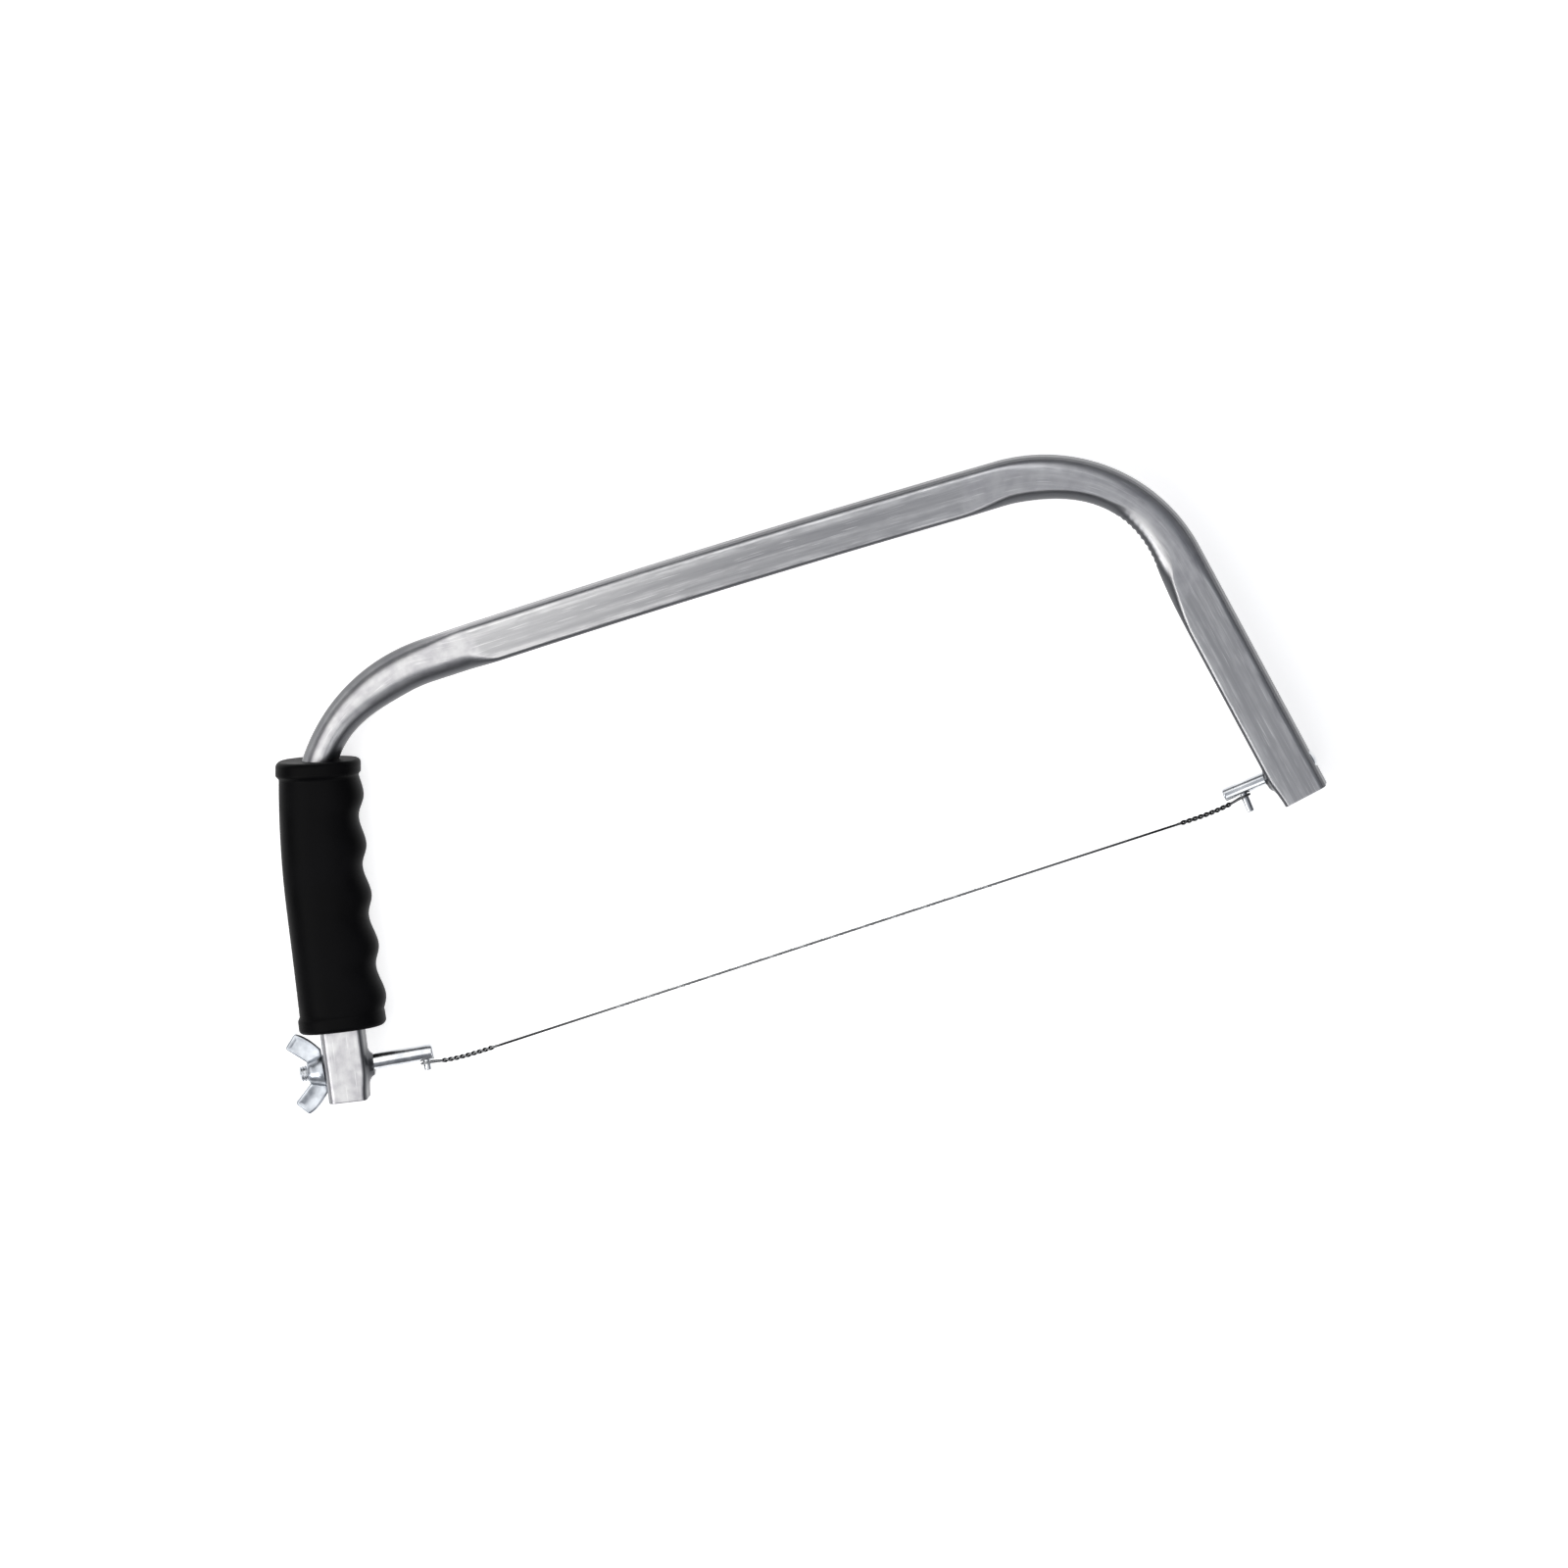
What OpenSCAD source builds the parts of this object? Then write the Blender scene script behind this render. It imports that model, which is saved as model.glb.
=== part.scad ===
// Bow fret saw: a bent square tube, a finger grip, a tension rod drawn by a wing nut, an anchor rod
// riveted into the nose, and a chiselled saw wire hooked over a peg in each rod.
// The saw lies on its side. X runs along the wire from the handle to the nose, Y from the wire to the
// back of the bow, and Z up, square to the bow. Lengths are in millimetres.

/* [Bow] */
// Distance between the two wire eyes
wire_span = 400; // [340:5:460]
// Height of the back tube's centreline over the near eye
back_height = 178.7; // [160:0.1:200]
// Fall of the back towards the nose, in degrees
back_fall = 1.1; // [0:0.1:2]
// How far the back bows outwards in its middle
back_bow = 1.4; // [0:0.1:3]
// Outward lean of the handle leg, in degrees
leg_splay = 11.3; // [8:0.1:13]
// Outward lean of the nose arm, in degrees
arm_splay = 9.8; // [8:0.1:13]
// Centreline radius of the bend over the handle
near_bend_r = 76.7; // [66:0.1:80]
// Centreline radius of the bend at the nose
far_bend_r = 70.2; // [62:0.1:78]

/* [Tube] */
// Depth of the tube, square to the bow
tube_depth = 20; // [18:0.5:22]
// Width of the handle leg, in the plane of the bow
leg_w = 19.6; // [18:0.2:22]
// Width of the back, in the plane of the bow
back_w = 20.2; // [18:0.1:23]
// Width of the nose arm, in the plane of the bow
arm_w = 22.6; // [18:0.2:24]
// Wall of the tube
tube_wall = 1.5; // [1:0.1:2.5]
// Outside corner radius of the tube
tube_corner = 3.4; // [3:0.1:5]
// How far the inner side is pressed in at both open ends of the tube
mouth_press = 1.6; // [0:0.1:2]
// How far bending pushed the inner side of the tube in
die_press = 4.1; // [0:0.1:4.5]
// Corner radius that the die left along the inner side
die_inner_corner = 7.5; // [5:0.1:8]
// Corner radius that the die left along the outer side
die_outer_corner = 5; // [3:0.1:7]
// How far the die marks reach past each end of a bend
die_reach = 20; // [12:1:24]
// Length over which a die mark fades out
die_fade = 10; // [4:1:11]

/* [Grip] */
// Bare tube between the open end of the leg and the grip
leg_bare = 33.5; // [33:0.5:40]
// Length of the grip
grip_len = 126; // [111:1:131]
// Half width of the grip on its plain outer side
grip_out = 18.2; // [16:0.1:20]
// Half width of the grip on its finger side, in the grooves
grip_in = 19; // [17:0.1:21]
// Height of the ridges between the finger grooves
ridge_h = 2.7; // [0:0.1:3.5]
// Distance from one finger ridge to the next
ridge_pitch = 23.8; // [21:0.1:24.2]
// Distance from the lower end of the grip to the first ridge
ridge_start = 13.4; // [12:0.1:16]
// Half depth of the grip, square to the bow
grip_half_depth = 15.6; // [14:0.1:18]
// How much wider the grip is on each side at its lower end
low_swell = 0.8; // [0:0.1:1]
// How much narrower the grip is on its finger side at its upper end
top_taper = 1; // [0:0.1:2]
// How far the lower end flange stands out
low_flange_h = 1; // [0.3:0.1:2]
// How far the upper end flange stands out
top_flange_h = 1.6; // [0.3:0.1:2.5]
// Length of each end flange
flange_len = 6; // [4:0.1:8]
// Rounding of the outer edges of the flanges
flange_round = 2.2; // [0.5:0.1:3]
// Sideways shift of the tube towards the bow where it leaves the grip
grip_exit_shift = 3.2; // [0:0.1:4]
// Clearance between the grip and the tube
grip_fit = 0.15; // [0.1:0.01:0.3]

/* [Tension rod and wing nut] */
// Distance from the open end of the leg to the tension rod
hook_drop = 15.8; // [14.5:0.1:16]
// Lean of the tension rod from square to the leg, in degrees
hook_tilt = 3.2; // [0:0.1:4]
// Distance from the middle of the leg to the near peg
hook_reach = 37; // [32:0.5:44]
// Diameter of the tension rod's shank
shank_d = 7.4; // [7.3:0.1:8]
// How far the shank runs on past its peg
shank_tip = 4; // [3:0.1:5.5]
// Diameter of the threaded end, at half the depth of its thread
thread_d = 7.2; // [6:0.1:7.2]
// How far the threaded end stands out of the leg
thread_out = 12.5; // [11:0.1:13.5]
// Running clearance on the radius, round the rod and inside the nut
run_fit = 0.06; // [0.02:0.01:0.1]
// Base diameter of the wing nut's hub
hub_d = 14.6; // [12:0.1:15.5]
// Top diameter of the hub
hub_top_d = 11.6; // [10.6:0.1:12]
// Height of the hub
hub_h = 8; // [6:0.1:9]
// Tip to tip span of the wings
wing_span = 39; // [34:0.1:39.4]
// Width of each wing
wing_w = 8.8; // [6:0.1:9.4]
// Thickness of each wing
wing_t = 2.2; // [1.5:0.1:3]
// Lean of the wings away from the nut's axis, in degrees
wing_lean = 42; // [38:0.5:46]
// How far the widest corner of a wing stands out from the nut's base
wing_rise = 11; // [10.8:0.1:12.4]
// Least gap between the nut and the tube
nut_seat = 0.05; // [0.02:0.01:0.2]

/* [Anchor rod] */
// Distance from the open end of the arm to the anchor rod
anchor_drop = 14.6; // [12:0.1:20]
// Lean of the anchor rod from square to the arm, in degrees
anchor_tilt = 5.3; // [0:0.1:6]
// Distance from the middle of the arm to the far peg
anchor_reach = 24.4; // [22:0.1:30]
// Diameter of the anchor rod
anchor_d = 6; // [5:0.1:7]
// How far the anchor rod runs on past its peg
anchor_tip = 8.8; // [5:0.1:9]
// Diameter of the rivet head on the outside of the arm
rivet_d = 7.4; // [7.2:0.1:12]
// Height of the rivet head
rivet_h = 1.4; // [1:0.1:2.5]

/* [Pegs] */
// Diameter of both pegs
peg_d = 3.6; // [3:0.1:4]
// How far the near peg stands out of its rod
near_peg_out = 4.6; // [3:0.1:8]
// How far the far peg stands out of its rod
far_peg_out = 8.8; // [4:0.1:10]

/* [Saw wire] */
// Diameter of the wire
wire_d = 1.1; // [0.8:0.05:1.3]
// Distance from each eye to the end of its twist
twist_len = 32; // [24:1:40]
// Turns in each twist
twist_turns = 4.5; // [3:0.5:6]
// Length of plain wire between the handle end and the first tooth
teeth_from = 92; // [60:1:120]
// Length of plain wire between the last tooth and the nose end
teeth_clear = 118; // [60:1:130]
// Distance from one tooth to the next
tooth_pitch = 2.5; // [2.5:0.1:6]
// Height of a tooth over the wire
tooth_h = 0.35; // [0.1:0.05:0.5]
// Depth of the chisel nick behind a tooth
nick_h = 0.25; // [0.1:0.05:0.35]

/* [Hidden] */

// How far a cutting solid runs past what it cuts, and past the grip's end, which slants over the bend
overrun = 1;
grip_overrun = 14;
// Points on each corner of a tube section, and on a grip section
corner_points = 5;
grip_points = 28;
// Length over which a pressed open end widens, and the steps along it
mouth_len = 16;
mouth_steps = 4;
// Steps along a die mark's fade and along a bend, and along the back, where an odd count leaves its
// middle flat
fade_steps = 3;
bend_steps = 17;
back_steps = 11;
// Where each bend is pushed in most, as a share of its length, and how far off the push fades out
near_press_share = 0.42;
far_press_share = 0.65;
near_press_len = 46;
far_press_len = 55;
// Steps along the grip between its flanges
grip_steps = 32;
// Power of the grip's oval, where 2 is an ellipse
oval_power = 2.5;
// Place along the grip where it starts to follow the bend, and where a groove is deepest
grip_straight_share = 0.45;
groove_share = 0.57;
// Half length, half depth, lip wall and height of the flares drawn out of the tube round the rods
flare_half_len = 13;
flare_half_depth = tube_depth / 2 - tube_corner / 2;
flare_lip = 1.4;
flare_h = 3;
anchor_flare_h = 1.6;
flare_steps = 5;
flare_points = 24;
// Length of the shank left inside the outer wall of the leg
shoulder_gap = 3.5;
// Bevels on the rods, the pegs and the nut
rod_bevel = 0.9;
peg_bevel = 0.4;
nut_bevel = 0.5;
// Corner radius of the wings
wing_corner = 1.3;
// Play of a peg in its rod and of an eye round its peg, and gap between an eye and its rod
peg_fit = 0.03;
eye_fit = 0.22;
eye_drop = 0.25;
// Gap between the two strands of a twist
strand_gap = 0.14;
// Length from the eye's centre to the first turn of the twist, and of the tail past the last turn
eye_len = 7;
tail_len = 1.6;
tail_rise = 0.9;
// Length over which the long strand comes back to the middle
settle_len = 4;
// How far the straight wire lies outside the line through the eyes
near_sag = 3;
far_sag = 3.1;
// Sides of the wire, rings in a turn of the twist, and the turn of an eye's step
wire_sides = 6;
turn_rings = 10;
eye_step = 22;
// Where a tooth's tip and its nick lie, as shares of its pitch
tooth_tip_share = 0.5;
tooth_nick_share = 0.62;

// Headings and unit vectors in the plane of the bow
function along(h) = [cos(h), sin(h)];
function across(h) = [-sin(h), cos(h)];
leg_heading = 90 - leg_splay;
back_heading = -back_fall;
arm_heading = arm_splay - 90;

// The eyes of the wire lie on the X axis, and each rod passes over its eye and crosses its leg or arm
hook_heading = hook_tilt - leg_splay;
anchor_heading = arm_splay - anchor_tilt;
near_eye_drop = shank_d / 2 + eye_drop + wire_d / 2;
far_eye_drop = anchor_d / 2 + eye_drop + wire_d / 2;
hook_at = near_eye_drop * across(hook_heading) - hook_reach * along(hook_heading);
anchor_at = [wire_span, 0] + far_eye_drop * across(anchor_heading)
    + anchor_reach * along(anchor_heading);

// Where a line through p with heading h meets the line through q with heading g
function cross2(a, b) = a[0] * b[1] - a[1] * b[0];
function meet(p, h, q, g) = p + along(h) * cross2(q - p, along(g)) / cross2(along(h), along(g));
back_at = [0, back_height];
near_corner = meet(hook_at, leg_heading, back_at, back_heading);
far_corner = meet(anchor_at, arm_heading, back_at, back_heading);
leg_end = hook_at - hook_drop * along(leg_heading);
arm_end = anchor_at + anchor_drop * along(arm_heading);

// The tube's centreline: leg, bend, back, bend, arm, by its length from the open end of the leg
near_turn = leg_heading - back_heading;
far_turn = back_heading - arm_heading;
near_tangent = near_bend_r * tan(near_turn / 2);
far_tangent = far_bend_r * tan(far_turn / 2);
bend_1 = norm(near_corner - leg_end) - near_tangent;
bend_2 = bend_1 + near_bend_r * near_turn * PI / 180;
bend_3 = bend_2 + norm(far_corner - near_corner) - near_tangent - far_tangent;
bend_4 = bend_3 + far_bend_r * far_turn * PI / 180;
tube_len = bend_4 + norm(arm_end - far_corner) - far_tangent;
near_centre = leg_end + bend_1 * along(leg_heading) - near_bend_r * across(leg_heading);
far_centre = far_corner - far_tangent * along(back_heading) - far_bend_r * across(back_heading);

function heading(s) =
    s < bend_1 ? leg_heading :
    s < bend_2 ? leg_heading - (s - bend_1) / near_bend_r * 180 / PI :
    s < bend_3 ? back_heading :
    s < bend_4 ? back_heading - (s - bend_3) / far_bend_r * 180 / PI : arm_heading;
function spot(s) =
    s < bend_1 ? leg_end + s * along(leg_heading) :
    s < bend_2 ? near_centre + near_bend_r * across(heading(s)) :
    s < bend_3 ? near_corner + (near_tangent + s - bend_2) * along(back_heading)
        + back_bow * sin(180 * (s - bend_2) / (bend_3 - bend_2)) * across(back_heading) :
    s < bend_4 ? far_centre + far_bend_r * across(heading(s)) :
    arm_end - (tube_len - s) * along(arm_heading);

// A smooth step from 0 to 1, then the width, the die marks and the pushed side at each place on the tube
function ease(t) = t <= 0 ? 0 : t >= 1 ? 1 : (1 - cos(180 * t)) / 2;
function width(s) =
    leg_w + (back_w - leg_w) * ease((s - bend_1) / (bend_2 - bend_1))
    + (arm_w - back_w) * ease((s - bend_3) / (bend_4 - bend_3));
function die_mark(s, from, to) =
    ease((s - from + die_reach) / die_fade) * ease((to + die_reach - s) / die_fade);
function marked(s) = die_mark(s, bend_1, bend_2) + die_mark(s, bend_3, bend_4);
function push(s, at, reach) = abs(s - at) < reach ? (1 + cos(180 * (s - at) / reach)) / 2 : 0;
function pressed(s) = push(s, bend_1 + near_press_share * (bend_2 - bend_1), near_press_len)
    + push(s, bend_3 + far_press_share * (bend_4 - bend_3), far_press_len);
function mouth(s) = mouth_press * (1 - ease(min(s, tube_len - s) / mouth_len));

// Places along the tube that carry a ring, close together only where the tube changes
function marked_stations(from, to) = let (
    lead = [from - die_reach, from - die_reach + die_fade],
    trail = [to + die_reach - die_fade, to + die_reach]
) concat(
    [for (i = [0:fade_steps]) lead[0] + (lead[1] - lead[0]) * i / fade_steps],
    [for (i = [1:bend_steps - 1]) lead[1] + (trail[0] - lead[1]) * i / bend_steps],
    [for (i = [0:fade_steps]) trail[0] + (trail[1] - trail[0]) * i / fade_steps]
);
back_stations = let (from = bend_2 + die_reach, to = bend_3 - die_reach)
    [for (i = [1:back_steps - 1]) from + (to - from) * i / back_steps];
stations = concat(
    [for (i = [0:mouth_steps]) mouth_len * i / mouth_steps], marked_stations(bend_1, bend_2),
    back_stations, marked_stations(bend_3, bend_4),
    [for (i = [mouth_steps:-1:0]) tube_len - mouth_len * i / mouth_steps]
);

// One ring of the tube, grown outwards by grow: u points to the outside of the bow, v up
function tube_section(s, grow) = let (
    mark = marked(s),
    half_out = width(s) / 2 + grow,
    half_in = width(s) / 2 - pressed(s) * die_press - mouth(s) + grow,
    half_up = tube_depth / 2 + grow,
    r_out = max(tube_corner + mark * (die_outer_corner - tube_corner) + grow, tube_wall / 2),
    r_in = max(tube_corner + mark * (die_inner_corner - tube_corner) + grow, tube_wall / 2)
) [for (k = [0:3], i = [0:corner_points - 1]) let (
    r = k == 0 || k == 3 ? r_out : r_in,
    u = k == 0 || k == 3 ? half_out - r : r - half_in,
    v = k < 2 ? half_up - r : r - half_up,
    a = 90 * (k + i / (corner_points - 1))
) [u + r * cos(a), v + r * sin(a)]];
function ring_at(p, h, section) = [for (q = section) let (w = p + q[0] * across(h)) [w[0], w[1], q[1]]];
function tube_ring(s, grow) = ring_at(spot(s), heading(s), tube_section(s, grow));

// Faces between rings of n points that run counterclockwise round the way ahead
function skin_faces(rings, n, first, inward) = [
    for (i = [0:rings - 2], j = [0:n - 1]) let (
        a = first + i * n + j, b = first + i * n + (j + 1) % n, c = a + n, d = b + n
    ) each inward ? [[a, b, c], [b, d, c]] : [[a, c, b], [b, c, d]]
];
function flat_ends(rings, n) = [
    [for (j = [0:n - 1]) j],
    [for (j = [n - 1:-1:0]) (rings - 1) * n + j]
];
module skin(rings) {
    n = len(rings[0]);
    polyhedron(
        [for (ring = rings) each ring],
        concat(skin_faces(len(rings), n, 0, false), flat_ends(len(rings), n)),
        convexity = 8
    );
}
// A pipe between outer rings and inner rings of the same count, open at both ends
module pipe(outer, inner) {
    n = len(outer[0]);
    m = len(outer);
    last = (m - 1) * n;
    shift = m * n;
    ends = [for (j = [0:n - 1]) let (k = (j + 1) % n) each [
        [j, k, shift + j], [k, shift + k, shift + j],
        [last + j, last + shift + j, last + k], [last + k, last + shift + j, last + shift + k]
    ]];
    polyhedron(
        [for (ring = concat(outer, inner)) each ring],
        concat(skin_faces(m, n, 0, false), skin_faces(m, n, shift, true), ends),
        convexity = 8
    );
}

// Frames at the rods, where local x points along the rod to the wire, and y away from the wire's side
module at_hook()
    translate([hook_at[0], hook_at[1], 0]) rotate(hook_heading) children();
module at_anchor()
    translate([anchor_at[0], anchor_at[1], 0]) rotate(anchor_heading) mirror([1, 0, 0]) children();
module turned(profile)
    rotate([0, 90, 0]) rotate_extrude($fn = 64) polygon(profile);
module bar(d, from, to)
    translate([from, 0, 0]) rotate([0, 90, 0]) cylinder(d = d, h = to - from, $fn = 48);
// A peg in its rod: flush with the far side of the rod, and out of the near side
module peg(rod_d, out) {
    top = sqrt(pow(rod_d / 2, 2) - pow(peg_d / 2, 2));
    r = peg_d / 2;
    low = -rod_d / 2 - out;
    rotate([-90, 0, 0]) rotate_extrude($fn = 48) polygon([
        [0, low], [r - peg_bevel, low], [r, low + peg_bevel], [r, top], [0, top]
    ]);
}
module peg_hole(rod_d) rotate([-90, 0, 0])
    translate([0, 0, -rod_d]) cylinder(r = peg_d / 2 + peg_fit, h = 2 * rod_d, $fn = 48);

// A flare is an oval at the wall, which it follows at an open end, and a round lip at its top
function flare_ring(s, x, r, share) = [for (j = [0:flare_points - 1]) let (
    a = 360 * j / flare_points,
    y = (r + (flare_half_len - r) * share) * cos(a)
) [x - share * mouth(s + y), y, (r + (flare_half_depth - r) * share) * sin(a)]];
module flare(at, s, lean, tilt, w, r, h) {
    drop = w / 2 * tan(tilt);
    translate([at[0], at[1], 0]) rotate(lean) translate([0, -drop, 0]) skin(concat(
        [flare_ring(s - drop, w / 2 - tube_wall / 2, r + flare_lip, 1)],
        [for (i = [0:flare_steps]) let (a = 90 * i / flare_steps)
            flare_ring(s - drop, w / 2 + h * (1 - cos(a)), r + flare_lip, 1 - sin(a))]
    ));
}

module bow_frame() color("#b4b6ba") placed() difference() {
    union() {
        pipe([for (s = stations) tube_ring(s, 0)], [for (s = stations) tube_ring(s, -tube_wall)]);
        flare(hook_at, hook_drop, -leg_splay, hook_tilt, leg_w, shank_d / 2, flare_h);
        flare(
            anchor_at, tube_len - anchor_drop, 180 + arm_splay, -anchor_tilt,
            arm_w, anchor_d / 2, anchor_flare_h
        );
    }
    at_hook() {
        bar(thread_d + 2 * run_fit, -leg_w, 0);
        bar(shank_d + 2 * run_fit, 0, leg_w + flare_h);
    }
    at_anchor() bar(anchor_d + 2 * run_fit, -arm_w, arm_w);
}

// The grip follows the leg, then leans after the bend so that the tube leaves it near its middle
grip_lean_from = grip_len * grip_straight_share;
exit_turn = asin(max(0, leg_bare + grip_len - bend_1) / near_bend_r);
grip_shift = max(0, near_bend_r * (1 - cos(exit_turn)) - grip_exit_shift);
function lean_share(t) = max(0, t - grip_lean_from) / (grip_len - grip_lean_from);
function grip_spot(t) = leg_end + (leg_bare + t) * along(leg_heading)
    - grip_shift * pow(lean_share(t), 2) * across(leg_heading);
function grip_heading(t) = leg_heading - atan(grip_shift * lean_share(t) / (grip_len - grip_lean_from));

// Finger ridges, the end flanges and their rounded edges, each added to the half widths of the grip
ridge_count = floor((grip_len - ridge_start - flange_len) / ridge_pitch) + 1;
function ridge_shape(f) = f < groove_share ?
    (1 + cos(180 * f / groove_share)) / 2 :
    (1 - cos(180 * (f - groove_share) / (1 - groove_share))) / 2;
// A place before the first ridge's rise or after the last one's fall lies on the plain side
function ridge(t) = let (
    q = (t - ridge_start) / ridge_pitch,
    k = floor(q),
    f = q - k,
    before = k < -1 || (k == -1 && f < groove_share),
    after = k >= ridge_count || (k == ridge_count - 1 && f > groove_share)
) before || after ? 0 : ridge_h * ridge_shape(f);
function lift(e, h) = h * (1 - ease((e - flange_len) / flange_round));
function edge(e) = e >= flange_round ?
    0 : sqrt(pow(flange_round, 2) - pow(flange_round - e, 2)) - flange_round;
function rim(t) = lift(t, low_flange_h) + lift(grip_len - t, top_flange_h);
function ends(t) = edge(t) + edge(grip_len - t);
function swell(t) = low_swell * pow(1 - t / grip_len, 3);
function taper(t) = top_taper * pow(t / grip_len, 4);
function power(v, p) = sign(v) * pow(abs(v), p);
function grip_section(t) = let (
    half_out = grip_out + rim(t) + ends(t) + swell(t),
    half_in = grip_in + max(rim(t), ridge(t)) + ends(t) + swell(t) - taper(t),
    half_up = grip_half_depth + rim(t) + ends(t)
) [for (j = [0:grip_points - 1]) let (a = 360 * j / grip_points, c = power(cos(a), 2 / oval_power)) [
    (c > 0 ? half_out : half_in) * c, half_up * power(sin(a), 2 / oval_power)
]];
grip_edge = [for (a = [0:30:90]) flange_round * (1 - cos(a))];
flange_root = flange_len + flange_round;
grip_stations = concat(
    grip_edge, [flange_len],
    [for (i = [0:grip_steps]) flange_root + (grip_len - 2 * flange_root) * i / grip_steps],
    [grip_len - flange_len], [for (i = [len(grip_edge) - 1:-1:0]) grip_len - grip_edge[i]]
);
bore_stations = concat(
    [leg_bare - overrun],
    [for (s = stations) if (s > leg_bare && s < leg_bare + grip_len + grip_overrun) s]
);
module grip() color("#151515") placed() difference() {
    skin([for (t = grip_stations) ring_at(grip_spot(t), grip_heading(t), grip_section(t))]);
    skin([for (s = bore_stations) tube_ring(s, grip_fit)]);
}

// The tension rod: a threaded end through the outer wall, and a shank from inside the leg to its tip
thread_end = -leg_w / 2 - thread_out;
shoulder = tube_wall - leg_w / 2 + shoulder_gap;
shank_end = hook_reach + shank_tip;
module tension_rod() color("#c3c7cc") placed() at_hook() difference() {
    turned([
        [0, thread_end], [thread_d / 2 - rod_bevel, thread_end], [thread_d / 2, thread_end + rod_bevel],
        [thread_d / 2, shoulder], [shank_d / 2, shoulder],
        [shank_d / 2, shank_end - rod_bevel], [shank_d / 2 - rod_bevel, shank_end], [0, shank_end]
    ]);
    translate([hook_reach, 0, 0]) peg_hole(shank_d);
}
module tension_peg() color("#c3c7cc") placed() at_hook()
    translate([hook_reach, 0, 0]) peg(shank_d, near_peg_out);

// The wing nut: x away from the leg and y out from its axis, with a wing on each side of a round hub
nut_base = leg_w / 2 / cos(hook_tilt) + hub_d / 2 * sin(hook_tilt) + nut_seat;
wing_way = [cos(wing_lean), sin(wing_lean)];
wing_side = [-sin(wing_lean), cos(wing_lean)];
wide_corner = [wing_rise, wing_span / 2];
top_corner = wide_corner - wing_w * wing_side;
wing_foot = nut_bevel;
root_r = thread_d / 2 + nut_bevel + run_fit;
function rounded(corner, from, to) = [for (a = [0:22.5:90])
    corner - wing_corner * (to + from) + wing_corner * (from * cos(a) + to * sin(a))];
wing_outline = concat(
    [[wing_foot, root_r], wide_corner - (wing_rise - wing_foot) / wing_way[0] * wing_way],
    rounded(wide_corner, wing_side, wing_way),
    rounded(top_corner, wing_way, -wing_side),
    [top_corner - (top_corner[1] - root_r) / wing_way[1] * wing_way]
);
module wing_nut() color("#c9ced6") placed() at_hook()
    translate([-nut_base, 0, 0]) mirror([1, 0, 0]) difference() {
        union() {
            turned([
                [0, 0], [hub_d / 2 - nut_bevel, 0], [hub_d / 2, nut_bevel], [hub_d / 2, 2 * nut_bevel],
                [hub_top_d / 2, hub_h - nut_bevel], [hub_top_d / 2 - nut_bevel, hub_h], [0, hub_h]
            ]);
            for (side = [0, 1]) mirror([0, side, 0])
                translate([0, 0, -wing_t / 2]) linear_extrude(wing_t) polygon(wing_outline);
        }
        bar(thread_d + 2 * run_fit, -overrun, hub_h + overrun);
    }

// The anchor rod: its rivet head lies flat on the outside of the arm, and its tip points at the wire
rivet_round = [for (a = [0:15:90]) [rivet_d / 2 * cos(a), -arm_w / 2 - rivet_h * sin(a)]];
rivet_shift = arm_w / 2 * tan(anchor_tilt);
anchor_end = anchor_reach + anchor_tip;
module anchor_rod() color("#c3c7cc") placed() {
    at_anchor() difference() {
        turned([
            [0, -arm_w / 2 - rivet_h / 2], [anchor_d / 2, -arm_w / 2 - rivet_h / 2],
            [anchor_d / 2, anchor_end - rod_bevel], [anchor_d / 2 - rod_bevel, anchor_end],
            [0, anchor_end]
        ]);
        translate([anchor_reach, 0, 0]) peg_hole(anchor_d);
    }
    translate([anchor_at[0], anchor_at[1], 0]) rotate(arm_splay) mirror([1, 0, 0])
        translate([0, -rivet_shift, 0]) turned(concat([[0, -arm_w / 2]], rivet_round));
}
module anchor_peg() color("#c3c7cc") placed() at_anchor()
    translate([anchor_reach, 0, 0]) peg(anchor_d, far_peg_out);

// The saw wire is one strand: tail, twist, eye, twist, plain wire, teeth, plain wire and the same again
eye_r = peg_d / 2 + eye_fit + wire_d / 2;
ply_r = (wire_d + strand_gap) / 2;
eye_open = asin((eye_r - ply_r) / eye_len);
twist_steps = round(twist_turns * turn_rings);
function strand(i, start) = let (phase = start + 360 * twist_turns * i / twist_steps)
    [eye_len + (twist_len - eye_len) * i / twist_steps, ply_r * cos(phase), ply_r * sin(phase)];
tail_phase = 90 + 360 * twist_turns;
eye_steps = round((180 + 2 * eye_open) / eye_step);
tail_r = ply_r + tail_rise;
end_route = concat(
    [[twist_len + tail_len, tail_r * cos(tail_phase), tail_r * sin(tail_phase)]],
    [for (i = [twist_steps:-1:0]) strand(i, 90)],
    [for (i = [0:eye_steps]) let (a = 90 - eye_open + (180 + 2 * eye_open) * i / eye_steps)
        [eye_r * cos(a), 0, eye_r * sin(a)]],
    [for (i = [0:twist_steps]) strand(i, 270)],
    [[twist_len + settle_len, 0, 0]]
);
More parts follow.
